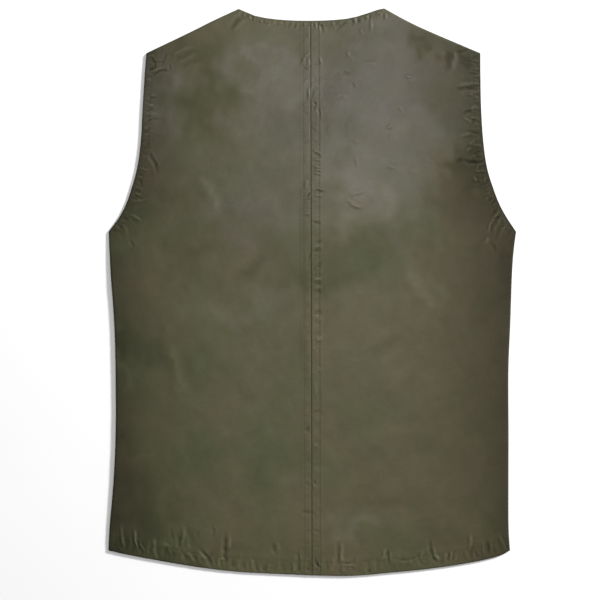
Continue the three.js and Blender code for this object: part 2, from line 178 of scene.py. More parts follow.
@dataclass(frozen=True)
class Wander:
    """A factor that wanders with a noise round its mean, between two limits."""

    mean: float
    gain: float
    least: float
    most: float
    noise: Noise

    def at(self, places: np.ndarray) -> np.ndarray:
        """The factor at some points in the plan, one a row."""
        return np.clip(self.mean + self.gain * self.noise.at(places), self.least, self.most)


def graded(
    total: float,
    near: Sequence[float],
    bands: Sequence[tuple[float, float]],
    corner: float | None = None,
) -> np.ndarray:
    """Shares from 0 to 1 along a span that is cut into bands, each with its own spacing.

    Args:
        total: The span's length.
        near: Ways in from both ends at which there is always a step, from 0 on.
        bands: Where each band ends, and its spacing.
        corner: A share that must be among them: the nearest one is moved there.

    Returns:
        The shares, rising.
    """
    stops = list(near)
    for end, spacing in bands:
        start = stops[-1]
        end = min(end, total - near[-1])
        count = max(1, round((end - start) / spacing))
        stops.extend(start + (end - start) * step / count for step in range(1, count + 1))
    stops.extend(total - way for way in near[-2::-1])
    shares = np.array(stops) / total
    if corner is not None:
        shares[np.abs(shares - corner).argmin()] = corner
    return shares


@dataclass(frozen=True)
class Path:
    """A smooth line in the plan, held as points at even steps of its length.

    inward is 1 where the panel lies to the left of the line's way, and -1 where it lies to the
    right.
    """

    points: np.ndarray
    inward: int

    @classmethod
    def through(cls, given: Sequence[Sequence[float]] | np.ndarray, inward: int) -> Path:
        """A line through some points.

        Each stretch is a cubic, whose slope at a point is half the step from the point before it to
        the point after it.

        Args:
            given: The points, in order.
            inward: On which side of the line the panel lies.

        Returns:
            The line.
        """
        given = np.asarray(given, dtype=float)
        padded = np.vstack([given[:1], given, given[-1:]])
        last = len(given) - 1
        t = np.linspace(0.0, last, PATH_POINTS * CURVE_STEPS)
        index = np.minimum(t.astype(int), last - 1)
        f = (t - index)[:, None]
        before, start, end, after = (padded[index + k] for k in range(4))
        slope_in = (end - before) / 2.0
        slope_out = (after - start) / 2.0
        cubic = 2.0 * start - 2.0 * end + slope_in + slope_out
        square = 3.0 * end - 3.0 * start - 2.0 * slope_in - slope_out
        dense = cubic * f**3 + square * f**2 + slope_in * f + start
        steps = np.linalg.norm(np.diff(dense, axis=0), axis=1)
        run = np.concatenate([[0.0], np.cumsum(steps)])
        even = np.linspace(0.0, run[-1], PATH_POINTS)
        return cls(np.column_stack([np.interp(even, run, dense[:, k]) for k in range(2)]), inward)

    @cached_property
    def length(self) -> float:
        """The line's length."""
        return float(np.linalg.norm(np.diff(self.points, axis=0), axis=1).sum())

    @cached_property
    def normals(self) -> np.ndarray:
        """Unit vectors into the panel, one for each point."""
        slope = np.gradient(self.points, axis=0)
        slope /= np.linalg.norm(slope, axis=1)[:, None]
        return np.column_stack([-slope[:, 1], slope[:, 0]]) * self.inward

    def at(self, share: np.ndarray, way_in: float = 0.0) -> np.ndarray:
        """Points of the line, or beside it.

        Args:
            share: Shares of the length.
            way_in: How far the points are moved into the panel.

        Returns:
            The points, with their two numbers on the last axis.
        """
        known = np.linspace(0.0, 1.0, len(self.points))
        table = self.points + self.normals * way_in
        return np.stack([np.interp(share, known, table[:, k]) for k in range(2)], axis=-1)

    def nearest(self, places: np.ndarray) -> tuple[np.ndarray, np.ndarray]:
        """How far the line is from some places.

        Args:
            places: Points in the plan, one a row.

        Returns:
            The distance of each place, and how far along the line its nearest point is.
        """
        start = self.points[:-1]
        run = self.points[1:] - start
        square = (run * run).sum(axis=1)
        step = self.length / len(run)
        distance = np.empty(len(places))
        along = np.empty(len(places))
        chunks = max(1, len(places) // PLACES_AT_ONCE)
        for chunk in np.array_split(np.arange(len(places)), chunks):
            off = places[chunk, None, :] - start
            share = np.clip((off * run).sum(axis=2) / square, 0.0, 1.0)
            away = off - share[..., None] * run
            squares = (away * away).sum(axis=2)
            best = squares.argmin(axis=1)
            rows = np.arange(len(chunk))
            distance[chunk] = np.sqrt(squares[rows, best])
            along[chunk] = (best + share[rows, best]) * step
        return distance, along


@dataclass(frozen=True)
class Survey:
    """What lies near each of many places of one half: ways to its edges, and how far along them."""

    places: np.ndarray
    hem: np.ndarray
    hem_along: np.ndarray
    armhole: np.ndarray
    armhole_along: np.ndarray
    neck: np.ndarray
    neck_along: np.ndarray
    seam: np.ndarray
    seam_along: np.ndarray
    side: np.ndarray
    shoulder: np.ndarray

    @property
    def open(self) -> np.ndarray:
        """Way to the nearest open edge."""
        return np.minimum(np.minimum(self.hem, self.armhole), self.neck)

    @property
    def sewn(self) -> np.ndarray:
        """Way to the side seam or the shoulder seam."""
        return np.minimum(self.side, self.shoulder)


@dataclass(frozen=True)
class Outline:
    """The edges of one half, seen from above."""

    half: Side
    hem: Path
    side: Path
    armhole: Path
    neck: Path
    shoulder: Path
    seam: Path

    @classmethod
    def of_back(cls, half: Side) -> Outline:
        """The outline of one half of the back, from the tables."""
        sign = half.value

        def place(out: float, up: float) -> tuple[float, float]:
            y = up - LENGTH / 2.0
            seam = CENTRE_SEAM + SEAM_SHIFT - SEAM_LEAN * y / LENGTH + sign * SEAM_GAP / 2.0
            return (seam if out == 0 else CENTRE_SEAM + sign * out, y)

        def upright(rows: Sequence[EdgeRow]) -> list[tuple[float, float]]:
            return [place(getattr(row, half.word), row.at) for row in rows]

        def level(rows: Sequence[EdgeRow]) -> list[tuple[float, float]]:
            return [place(row.at, getattr(row, half.word)) for row in rows]

        hem = [*level(HEM_ROWS), upright(SIDE_ROWS)[0]]
        neck = level(NECK_ROWS)
        return cls(
            half=half,
            hem=Path.through(hem, sign),
            side=Path.through(upright(SIDE_ROWS), sign),
            armhole=Path.through(upright(ARMHOLE_ROWS), sign),
            neck=Path.through(neck, -sign),
            shoulder=Path.through([*level(SHOULDER_ROWS), upright(ARMHOLE_ROWS)[-1]], -sign),
            seam=Path.through([hem[0], neck[0]], -sign),
        )

    @property
    def armpit(self) -> float:
        """Share of the outer edge at which the underarm corner is."""
        return self.side.length / self.height

    @property
    def neck_point(self) -> float:
        """Share of the upper edge at which the neck point is."""
        return self.neck.length / (self.neck.length + self.shoulder.length)

    @property
    def height(self) -> float:
        """Length of the outer edge, from the hem to the shoulder tip."""
        return self.side.length + self.armhole.length

    @property
    def width(self) -> float:
        """Width of the panel at its widest."""
        return float(np.abs(self.side.points[:, 0] - self.hem.points[0, 0]).max())

    @property
    def area(self) -> float:
        """Area inside the outline in square metres: half the sum of the corners' cross products."""
        upper = np.vstack([self.armhole.points, self.shoulder.points[::-1], self.neck.points[::-1]])
        x, y = np.vstack([self.hem.points, self.side.points, upper]).T
        return abs(float(np.dot(x, np.roll(y, -1)) - np.dot(y, np.roll(x, -1)))) / 2.0 * MM * MM

    def cut(self, across: float, up: float, strips: Sequence[tuple[float, float]]) -> Cut:
        """The flat piece that is turned and sewn to this outline.

        Args:
            across: What the allowances add to the width.
            up: What the allowances add to the length.
            strips: Length and width of each turning and seam allowance.

        Returns:
            Its size, and the area of the outline and the strips together.
        """
        top = max(self.neck.points[:, 1].max(), self.shoulder.points[:, 1].max())
        length = float(top - self.hem.points[:, 1].min()) + up
        added = sum(long * wide for long, wide in strips) * MM * MM
        return Cut((self.width + across) * MM, length * MM, self.area + added)

    def plan(self, u: np.ndarray, v: np.ndarray) -> np.ndarray:
        """The panel's points as a function of two parameters.

        u runs from the middle out and v from the hem up. The hem and the upper edge are blended by
        v, the middle line and the outer edge are blended by u, and the blend of the four corners is
        taken away once.

        Args:
            u: Shares of the hem and of the upper edge.
            v: Shares of the middle line and of the outer edge.

        Returns:
            A point for each v and each u.
        """
        neck, armpit = self.neck_point, self.armpit
        far_upper = self.shoulder.at((u - neck) / (1.0 - neck))
        upper = np.where((u <= neck)[:, None], self.neck.at(u / neck), far_upper)
        high_outer = self.armhole.at((v - armpit) / (1.0 - armpit))
        outer = np.where((v <= armpit)[:, None], self.side.at(v / armpit), high_outer)
        hem = self.hem.at(u)
        across = u[None, :, None]
        up = v[:, None, None]
        middle = (1.0 - v)[:, None] * hem[0] + v[:, None] * upper[0]
        by_v = (1.0 - up) * hem[None] + up * upper[None]
        by_u = (1.0 - across) * middle[:, None] + across * outer[:, None]
        low = (1.0 - across) * hem[0] + across * hem[-1]
        high = (1.0 - across) * upper[0] + across * upper[-1]
        return by_v + by_u - ((1.0 - up) * low + up * high)

    def survey(self, places: np.ndarray) -> Survey:
        """Measures the ways from some places to this half's edges."""
        ways = {}
        for word in ("hem", "armhole", "neck", "seam"):
            ways[word], ways[f"{word}_along"] = getattr(self, word).nearest(places)
        for word in ("side", "shoulder"):
            ways[word] = getattr(self, word).nearest(places)[0]
        return Survey(places=places, **ways)


class Cut(NamedTuple):
    """A piece as it was cut from the flat leather, in metres and square metres."""

    width: float
    length: float
    area: float


class Swell(NamedTuple):
    """A broad rise or dip of the back: its middle, its reach and its height."""

    x: float
    y: float
    reach: float
    lift: float


SWELLS = tuple(
    Swell(*row)
    for row in (
        (-120, 235, 60, 0.5), (95, 215, 75, 0.6), (-60, 120, 55, -0.5), (150, 60, 60, -0.6),
        (55, -20, 60, 0.4), (-150, 10, 65, 0.5), (-85, -110, 70, -0.4), (110, -130, 80, 0.4),
        (-175, -200, 55, -0.6), (40, -262, 60, -0.4), (-60, -285, 45, 0.4),
    )
)


@dataclass(frozen=True)
class Bed:
    """How the two layers lie on each other and on the surface."""

    rest: float = FRONT_WALL + LAYER_GAP
    loft: float = 2.8
    loft_run: float = 38.0
    sag: float = 1.3
    sag_run: float = 55.0
    sag_flattens: float = 0.45
    inside_round: float = 0.5

    def under_back(self, ways: Survey) -> np.ndarray:
        """Height of the back's plain underside.

        It lies on the fronts at the open edges, rises inside them as 1 - e^(-distance / run), and
        sags over the fronts' V, where nothing carries it.
        """
        x, y = ways.places.T
        foot = LENGTH / 2.0 - FRONT_V_DEPTH
        inside = np.maximum(0.0, NECK_POINT * (y - foot) / FRONT_V_DEPTH - np.abs(x - CENTRE_SEAM))
        sag = smooth(inside / self.sag_run)
        swell = sum(s.lift * bell(np.hypot(x - s.x, y - s.y) / s.reach) for s in SWELLS)
        lofted = 1.0 - np.exp(-ways.open / self.loft_run)
        loft = self.loft * (1.0 - self.sag_flattens * sag)
        return self.rest + (loft + swell) * lofted - self.sag * sag

    def middle(self, under: np.ndarray) -> np.ndarray:
        """Height of the side and shoulder seams, half-way up the two layers."""
        return (under + BACK_WALL) / 2.0

    def turned(self, ways: Survey, middle: np.ndarray) -> np.ndarray:
        """How far the inner faces have turned towards a sewn edge, from 0 to 1 at the edge."""
        inner = np.maximum(self.inside_round, middle - BACK_WALL)
        turning = 1.0 - quarter_round(ways.sewn - BACK_WALL, inner)
        return np.where(ways.sewn <= BACK_WALL, 1.0, turning)


class Crease(NamedTuple):
    """A trough or a ridge between two points, with its sideways bend, its width and its height."""

    x: float
    y: float
    to_x: float
    to_y: float
    bend: float
    width: float
    lift: float


def placed(width: float, lift: float, *rows: tuple[float, ...]) -> list[Crease]:
    """Creases from a table, with all their widths and lifts multiplied by two factors."""
    creases = (Crease(*row) for row in rows)
    return [one._replace(width=one.width * width, lift=one.lift * lift) for one in creases]


# Creases placed one by one, in millimetres. First come the factors of the widths and the lifts, and
# then each row holds x, y, to_x, to_y, bend, width and lift. A lift below 0 is a trough.
HEM_CREASES = placed(
    0.86,
    1.05,
    (-239, -329, -243, -292, 1.5, 2.2, 0.42), (-223, -329, -227, -298, 0.5, 2.2, 0.55),
    (-219, -331, -225, -314, -1.0, 1.8, -0.45), (-214, -330, -221, -316, 1.5, 2.0, 0.40),
    (-197, -343, -200, -306, 3.0, 2.2, 0.45), (-194, -342, -196, -316, 3.0, 1.7, -0.35),
    (-178, -336, -190, -319, -1.5, 2.2, 0.48), (-176, -338, -187, -322, -1.5, 1.6, -0.40),
    (-177, -316, -180, -300, 0.5, 1.8, -0.35), (-170, -328, -172, -308, -1.0, 1.9, -0.62),
    (-167, -324, -165, -295, -2.5, 2.6, 0.62), (-158, -330, -158, -303, 1.0, 2.6, 0.34),
    (-160, -345, -168, -327, -1.0, 1.8, -0.45), (-150, -348, -160, -330, -1.0, 2.2, 0.42),
    (-145, -350, -152, -336, -1.0, 1.6, -0.40), (-147, -314, -145, -303, 0.0, 1.7, -0.35),
    (-134, -342, -148, -329, 0.5, 4.0, 0.14), (-127, -353, -148, -324, -3.0, 1.9, -0.66),
    (-129, -315, -130, -296, -4.0, 1.7, -0.42), (-120, -352, -119, -338, 0.0, 1.8, 0.50),
    (-115, -353, -116, -340, 0.0, 1.4, -0.40), (-111, -351, -110.5, -303, 1.5, 1.8, -0.92),
    (-110.5, -346, -110.5, -312, 0.0, 1.5, -0.45), (-105.5, -330, -106, -305, 0.0, 2.0, 0.50),
    (-103, -352, -101, -338, 0.0, 1.6, -0.30), (-93, -355, -95, -342, 0.0, 1.9, 0.34),
    (-86, -356, -87, -342, 0.5, 1.6, -0.30), (-75, -357, -77, -338, 1.0, 1.9, 0.42),
    (-71, -357, -71, -343, 0.0, 1.4, -0.42), (-65, -357, -67, -345, 0.5, 1.5, 0.36),
    (-62, -358, -63, -344, 0.0, 1.4, -0.36), (-47, -336, -50, -318, 0.8, 1.9, -0.45),
    (-43, -330, -45, -318, 0.0, 2.0, 0.32), (-36, -358, -38, -344, 0.5, 1.8, -0.28),
    (-23, -359, -25, -340, 0.0, 2.0, 0.40), (-17, -358, -18, -322, 0.6, 1.7, -0.44),
    (12, -353, 3, -334, 3.0, 1.8, -0.30), (20, -358, 18, -337, 0.0, 1.6, -0.42),
    (25, -359, 27, -336, 0.0, 2.1, 0.36), (33, -351, 34, -315, 1.2, 1.7, -0.62),
    (38, -346, 37.5, -317, 0.0, 1.9, 0.48), (31, -360, 33, -349, 0.0, 1.4, -0.36),
    (39, -345, 51, -344, -1.6, 1.6, -0.30), (44, -348, 56, -354, 2.6, 1.8, 0.20),
    (72, -360, 72, -341, 0.0, 1.7, -0.66), (67, -359, 66, -344, 0.0, 1.8, 0.30),
    (96, -352, 92, -325, -2.4, 1.8, -0.62), (90, -344, 95, -324, 1.4, 1.9, 0.46),
    (102, -354, 100, -326, 1.4, 1.7, 0.42), (99, -352, 100, -338, 0.0, 1.4, -0.40),
    (108, -342, 136, -338, -1.4, 1.8, -0.26), (124, -348, 125, -339, 0.0, 1.7, 0.42),
    (136, -343, 143, -329, 1.0, 1.9, 0.42), (140, -350, 134, -330, 0.6, 1.6, -0.40),
    (158, -347, 149, -313, 2.2, 1.9, -0.66), (163, -344, 153, -322, 1.6, 2.0, 0.48),
    (169, -345, 170, -330, 0.0, 1.6, 0.42), (173, -345, 173, -331, 0.0, 1.3, -0.44),
    (176, -345, 177, -328, 0.0, 1.6, 0.44), (179, -344, 179, -330, 0.0, 1.3, -0.44),
    (182, -344, 183, -330, 0.0, 1.7, 0.44), (198, -332, 199, -305, -3.4, 2.2, 0.48),
    (201, -338, 202, -316, -2.0, 1.8, -0.36), (226, -335, 222, -314, 0.8, 2.4, -0.32),
)
LEFT_ARMHOLE_CREASES = placed(
    0.8,
    0.58,
    (-207, 300, -199, 283, 2.0, 1.6, -0.42), (-184, 305, -193, 286, -1.5, 2.2, -0.36),
    (-177, 294, -146, 309, 1.0, 2.8, -0.60), (-180, 301, -154, 313, 1.0, 2.4, 0.45),
    (-168, 286, -140, 296, 2.0, 3.2, -0.35), (-211, 280, -200, 294, -3.0, 1.9, -0.60),
    (-181, 282, -182, 291, 0.5, 1.9, -0.34), (-207, 274, -180, 281, 4.0, 1.8, -0.85),
    (-206, 279, -186, 285, 3.0, 2.4, 0.36), (-212, 249, -199, 250, 1.2, 1.6, 0.46),
    (-210, 244, -197, 247, 1.5, 1.5, -0.68), (-212, 235, -202, 238, 1.0, 1.8, 0.44),
    (-214, 229, -200, 233, 1.6, 1.5, -0.46), (-214, 215, -191, 220, 3.0, 1.6, -0.58),
    (-210, 223, -195, 226, 2.0, 2.0, 0.40), (-216, 208, -204, 211, 1.2, 1.6, 0.46),
    (-215, 204, -205, 207, 1.0, 1.3, -0.46), (-216, 200, -206, 201, 0.8, 1.5, 0.40),
    (-216, 194, -206, 197, 1.0, 1.3, -0.44), (-217, 188, -207, 191, 0.8, 1.6, 0.40),
    (-217, 181, -209, 184, 0.8, 1.4, -0.46), (-211, 179, -196, 148, 2.6, 2.4, -0.72),
    (-222, 143, -216, 133, 0.6, 1.6, -0.48), (-229, 126, -215, 115, 0.8, 1.5, -0.44),
    (-226, 126, -218, 121, 0.0, 1.8, 0.46), (-235, 100, -216, 88, 1.5, 2.0, 0.52),
    (-237, 96, -220, 84, 1.5, 1.6, -0.34), (-243, 88, -235, 72, 1.0, 2.4, 0.40),
    (-234, 66, -226, 57, 0.6, 1.7, -0.52), (-249, 80, -238, 62, 1.0, 2.2, -0.30),
)
RIGHT_ARMHOLE_CREASES = placed(
    0.95,
    0.66,
    (198, 311, 181, 305, 1.6, 1.9, -0.50), (172, 311, 166, 276, 3.4, 4.0, -0.50),
    (180, 309, 176, 278, 3.0, 3.6, 0.34), (210, 278, 197, 278, 0.0, 1.5, -0.38),
    (212, 260, 178, 256, -1.6, 2.2, -0.72), (208, 265, 184, 262, -1.4, 2.4, 0.34),
    (210, 237, 200, 232, -1.0, 1.6, 0.46), (205, 231, 188, 224, -1.5, 1.9, -0.42),
    (192, 221, 203, 214, 1.5, 1.7, 0.40), (206, 222, 201, 212, 0.8, 1.5, -0.42),
    (204, 201, 184, 197, -1.5, 2.2, 0.34), (208, 193, 198, 187, -0.8, 1.6, 0.44),
    (203, 184, 196, 176, -2.0, 1.7, 0.46), (212, 166, 190, 169, 1.8, 2.1, -0.70),
    (191, 170, 179, 166, 1.0, 2.2, -0.50), (208, 174, 198, 172, 0.6, 1.8, 0.38),
    (213, 163, 207, 155, 0.8, 1.5, 0.44), (205, 148, 208, 138, 0.8, 1.8, 0.42),
    (220, 147, 216, 138, 1.4, 1.6, 0.44), (213, 141, 203, 139, 0.6, 1.6, -0.38),
    (229, 121, 222, 115, 0.0, 1.6, -0.46), (228, 128, 219, 122, 0.4, 1.5, 0.40),
    (239, 104, 222, 70, -3.4, 1.3, 0.50), (242, 101, 226, 70, -3.4, 1.1, -0.50),
    (244, 98, 230, 68, -3.0, 1.2, 0.36), (249, 97, 232, 58, -3.6, 1.2, -0.42),
    (252, 92, 238, 62, -3.0, 1.2, 0.34), (224, 70, 218, 60, 1.0, 2.0, 0.44),
    (226, 64, 234, 50, 1.4, 1.8, -0.34),
)
NECK_CREASES = placed(
    0.8,
    0.8,
    (-88, 354, -107, 332, -1.5, 3.6, -0.52), (-79, 353, -74, 346, 0.0, 1.6, -0.50),
    (-70, 351, -67, 342, 0.8, 1.5, 0.42), (-63, 348, -63, 341, 0.4, 1.4, -0.40),
    (-55, 347, -54, 338, 0.0, 1.5, 0.30), (11, 345, 14, 328, -1.2, 1.6, -0.62),
    (16, 346, 17, 330, 0.0, 2.2, 0.38), (26, 345, 29, 333, 1.0, 1.6, 0.42),
    (45, 346, 30, 331, -2.0, 1.7, -0.56), (39, 347, 36, 337, 0.0, 1.6, 0.36),
    (49, 350, 53, 341, 0.0, 1.5, -0.50), (54, 349, 55, 341, 0.0, 1.6, 0.34),
    (58, 350, 57, 342, 0.0, 1.4, -0.54), (72, 353, 73, 343, 0.0, 1.4, -0.46),
    (75, 352, 77, 328, -1.2, 1.8, 0.48), (60, 336, 64, 327, 0.6, 1.8, 0.40),
    (93, 356, 95, 346, 0.0, 1.8, 0.56), (90, 357, 91, 346, 0.0, 1.3, -0.40),
)
SURFACE_CREASES = placed(
    0.85,
    0.95,
    (44, 308, 58, 293, -2.4, 2.0, 0.52), (46, 305, 60, 291, -2.4, 1.6, -0.36),
    (30, 252, 46, 247, 1.5, 3.0, 0.26), (50, 267, 53, 259, 0.6, 1.7, -0.44),
    (37, 281, 49, 279, -1.0, 2.2, -0.28), (66, 292, 82, 290, 1.0, 2.2, 0.28),
    (109, 238, 117, 226, 0.8, 1.8, 0.30), (118, 274, 126, 274, 0.0, 1.6, 0.34),
    (96, 163, 106, 157, -1.4, 2.4, 0.28), (43, 120, 66, 107, -3.0, 2.4, 0.40),
    (48, 125, 68, 130, -1.0, 2.2, 0.28), (94, 208, 102, 212, 0.5, 2.0, 0.34),
    (52, 193, 60, 191, 0.0, 1.8, 0.30), (55, 176, 57, 156, 0.8, 1.9, 0.32),
    (102, 202, 100, 192, 0.5, 1.7, 0.26), (-16, -281, 6, -283, 1.0, 2.0, -0.44),
    (134, -270, 8, -269, 0.0, 6.0, -0.08), (-100, 258, -70, 252, 2.0, 6.0, 0.20),
    (-150, 150, -120, 90, 8.0, 7.0, 0.22), (-60, 60, -110, 10, 9.0, 8.0, -0.20),
    (120, 40, 170, -30, -9.0, 8.0, 0.20), (-190, -60, -170, -150, 8.0, 8.0, 0.22),
    (70, -90, 130, -60, 8.0, 8.0, -0.18),
)
SEAM_CREASES = placed(
    0.85,
    0.9,
    (-4, 305, -12, 300, 2.0, 1.8, 0.40), (-10, 300, -12, 288, -1.0, 2.0, 0.40),
    (-5, 297, -6, 286, 1.0, 1.8, 0.42), (-12, 286, -4, 284, 0.0, 1.5, -0.36),
    (8, 303, 13, 286, 0.0, 1.8, 0.30), (-4, 262, -4, 240, 0.0, 2.2, 0.50),
    (1, 242, 5, 238, 0.5, 1.5, -0.45), (4, 238, 1, 231, 0.0, 1.5, -0.30),
    (8, 236, 10, 216, 0.0, 1.7, -0.26), (0.5, 181, 12, 176, 0.5, 1.4, 0.42),
    (0.5, 177, 12.5, 171, 0.4, 1.3, -0.36), (1, 169, 12, 167, 0.4, 1.5, 0.44),
    (2, 160, 12, 158, 0.0, 1.5, 0.44), (1, 155, 14, 153.5, 0.3, 1.3, 0.46),
    (1, 151, 14, 149.5, 0.3, 1.3, 0.42), (-8, 143, -10, 130, 1.0, 2.4, 0.40),
    (2, 129, 16, 127, 0.5, 1.6, -0.55), (2, 123, 13, 122, 0.5, 1.8, 0.45),
    (-3, 127, -9, 120, 1.0, 1.5, -0.50), (-3, 118, -6, 116, 0.0, 1.4, -0.40),
    (1, 93, 12, 91, 0.0, 1.4, 0.36), (1, 88, 11, 87, 0.0, 1.3, -0.36),
    (1, 64, 15, 64, 0.0, 1.2, -0.40), (1, 57, 14, 58, 0.5, 1.8, 0.36),
    (1, 52, 13, 53, 0.8, 1.7, -0.55), (-3, 50, -7, 36, 1.0, 1.8, -0.36),
    (2, 31, 14, 38, -0.6, 1.5, -0.50), (1, 29, 6, 27, 0.0, 1.4, -0.36),
    (1, 22, 13, 21, -0.8, 1.6, -0.60), (1, 17, 13, 17, 0.0, 2.0, 0.40),
    (1, 11, 13, 12, 0.4, 1.6, -0.50), (1, 5.5, 13, 6, 0.0, 1.8, 0.36),
    (1, 0, 13, -1, 0.0, 1.6, -0.50), (1, -26, 14, -26, -0.5, 1.7, -0.66),
    (1, -31, 13, -31, 0.0, 1.4, 0.40), (1, -34.5, 12, -34, 0.0, 1.3, 0.40),
    (1, -37, 13, -37, 0.0, 1.3, -0.40), (4, -60, 14, -59, 0.0, 2.8, 0.50),
    (1, -71, 4, -72, 0.0, 1.8, 0.36), (5, -98, 12, -98, 0.0, 2.0, 0.40),
    (2, -110.5, 13, -111, 0.0, 1.3, -0.44), (3, -116, 5, -134, 0.0, 2.0, 0.26),
    (2, -145, 13, -144, 0.0, 1.3, -0.40), (2, -148, 13, -147.5, 0.0, 1.3, 0.40),
    (2, -151, 12, -151, 0.0, 1.2, -0.34), (-4, -172, -10, -177, 0.5, 1.8, -0.50),
    (1, -194.5, 6, -195, 0.0, 1.5, 0.40), (1, -216, 3, -216, 0.0, 1.5, 0.40),
    (2, -226, 13, -227, 0.0, 1.6, 0.36), (1, -242, 5, -242, 0.0, 1.3, -0.44),
    (1, -247, 5, -247, 0.0, 1.4, 0.44), (-4, -244, -10, -243, 0.5, 1.6, -0.40),
    (1, -282, 5, -283, 0.0, 1.5, -0.36),
)
PLACED_CREASES = (
    *HEM_CREASES,
    *LEFT_ARMHOLE_CREASES,
    *RIGHT_ARMHOLE_CREASES,
    *NECK_CREASES,
    *SURFACE_CREASES,
    *SEAM_CREASES,
)


@dataclass(frozen=True)
class GatherRule:
    """How the sewing gathers one edge: the ranges that each small pucker is drawn from."""

    turn: float
    spacing: tuple[float, float]
    width: tuple[float, float]
    lift: tuple[float, float]
    tail: float
    slant: float
    start_in: tuple[float, float] = (0.5, 3.0)
    bend: float = 1.5

    def creases(self, edge: Path, seed: int) -> Iterator[Crease]:
        """The puckers along an edge, as uneven in place, length and depth as the ranges say.

        Args:
            edge: The edge that is gathered.
            seed: Start of the random draws.

        Yields:
            One crease for each pucker, troughs and ridges in turn.
        """
        draw = np.random.default_rng(seed)
        place = draw.uniform(*self.spacing)
        sign = -1.0
        while place < edge.length - self.spacing[0]:
            share = np.array(place / edge.length)
            start_in = draw.uniform(*self.start_in)
            reach = self.turn + self.tail * draw.uniform() ** 2
            lean = draw.uniform(-self.slant, self.slant) * reach / edge.length
            start = edge.at(share, start_in)
            end = edge.at(np.clip(share + lean, 0.0, 1.0), start_in + reach)
            bend = draw.uniform(-self.bend, self.bend)
            width = draw.uniform(*self.width)
            yield Crease(*start, *end, bend, width, sign * draw.uniform(*self.lift))
            place += draw.uniform(*self.spacing)
            sign = -sign


GATHERS = {
    "hem": GatherRule(14.0, (3.0, 7.5), (1.0, 1.7), (0.07, 0.26), 16.0, 0.25),
    "armhole": GatherRule(8.0, (3.4, 7.5), (1.0, 1.6), (0.08, 0.28), 16.0, 0.45),
    "neck": GatherRule(5.0, (2.4, 5.0), (0.9, 1.4), (0.20, 0.48), 6.0, 0.35),
    "seam": GatherRule(7.0, (4.5, 13.0), (1.3, 2.3), (0.03, 0.14), 4.0, 0.35),
}
GATHER_SEEDS = {Side.LEFT: 21, Side.RIGHT: 61}


@dataclass(frozen=True)
class CreaseShape:
    """The section and the run of every crease."""

    power: float = 1.6
    shoulder: float = 0.3
    shoulder_place: float = 2.0
    shoulder_width: float = 0.9
    rise: float = 0.26
    fade: float = 0.42
    widths_reached: float = 4.0
    wobble: float = 0.32
    wobble_noise: Noise = Noise(11.0, 61, 30)
    strength: Wander = Wander(1.0, 0.22, 0.4, 1.6, Noise(15.0, 62, 30))
    gain: float = 1.9
    limits: tuple[float, float] = (-1.25, 1.2)

    def heights(self, creases: Sequence[Crease], places: np.ndarray) -> np.ndarray:
        """Height of the creases.

        Across a crease the height is e^(-|way / width|^power) times its lift, less a soft shoulder
        of the other sign at two widths. Along it, it rises quickly from the start and dies slowly
        to the end. One noise makes the lines wobble, and another makes them uneven in height.

        Args:
            creases: The creases.
            places: Points in the plan, one a row.

        Returns:
            One height for each place, kept within the limits.
        """
        height = np.zeros(len(places))
        wobble = self.wobble * self.wobble_noise.at(places)
        for crease in creases:
            start = np.array([crease.x, crease.y])
            run = np.array([crease.to_x, crease.to_y]) - start
            length = math.hypot(*run)
            forward = run / length
            reach = self.widths_reached * crease.width + abs(crease.bend)
            low = np.minimum(start, start + run) - reach
            high = np.maximum(start, start + run) + reach
            near = np.flatnonzero(((places >= low) & (places <= high)).all(axis=1))
            off = places[near] - start
            t = off @ forward / length
            bow = crease.bend * 4.0 * t * (1.0 - t)
            aside = off @ np.array([-forward[1], forward[0]])
            away = np.abs(aside - bow + wobble[near]) / crease.width
            shoulder = bell((away - self.shoulder_place) / self.shoulder_width)
            shape = np.exp(-(away**self.power)) - self.shoulder * shoulder
            ends = smooth(t / self.rise) * smooth((1.0 - t) / self.fade)
            height[near] += crease.lift * shape * ends
        return np.clip(height * self.strength.at(places) * self.gain, *self.limits)


@dataclass(frozen=True)
class Crinkles:
    """Fine crinkles beside the gathered edges, and broader ones on the rubbed upper back.

    They are thin lines where one noise is near 0, raised or sunk by a second noise.
    """

    height: float = 0.15
    line_width: float = 0.42
    edge_reach: float = 36.0
    edge_lines: Noise = Noise(17.0, 51, 40)
    edge_lift: Noise = Noise(26.0, 52)
    rubbed_middle: tuple[float, float] = (50.0, 240.0)
    rubbed_reach: tuple[float, float] = (75.0, 90.0)
    rubbed_lines: Noise = Noise(34.0, 53, 40)
    rubbed_lift: Noise = Noise(50.0, 54)
    rubbed_share: float = 0.8

    def heights(self, ways: Survey) -> np.ndarray:
        """Height of the crinkles at the surveyed places."""
        places = ways.places
        near = 1.0 - smooth(ways.open / self.edge_reach)
        fine = bell(self.edge_lines.at(places) / self.line_width) * self.edge_lift.at(places)
        rubbed = bell(np.hypot(*((places - self.rubbed_middle) / self.rubbed_reach).T))
        broad = bell(self.rubbed_lines.at(places) / self.line_width) * self.rubbed_lift.at(places)
        return self.height * (near * fine + self.rubbed_share * rubbed * broad)


# Soft unevenness of the leather, from broad waves to small dimples: each one's height and its noise
UNEVENNESS = (
    (0.20, Noise(120.0, 41)),
    (0.075, Noise(42.0, 42)),
    (0.030, Noise(15.0, 43, 40)),
    (0.014, Noise(6.0, 44, 60)),
)


class StitchRow(NamedTuple):
    """One line of topstitching: the edge that it follows, and how far in from it."""

    word: str
    edge: Path
    way_in: float


class SeamSide(NamedTuple):
    """One half's side of the middle seam.

    band is the width of its allowance, stitched down under the panel, lift and step are how that
    band stands up and ends, groove is the depth of its stitch line, the field after it is the painted
    shade laid along that line, rounding is the radius of its edge and ridge is the height of the
    ridge beside it.
    """

    band: float
    step: float
    lift: float
    groove: float
    dirt: float
    rounding: float
    ridge: float


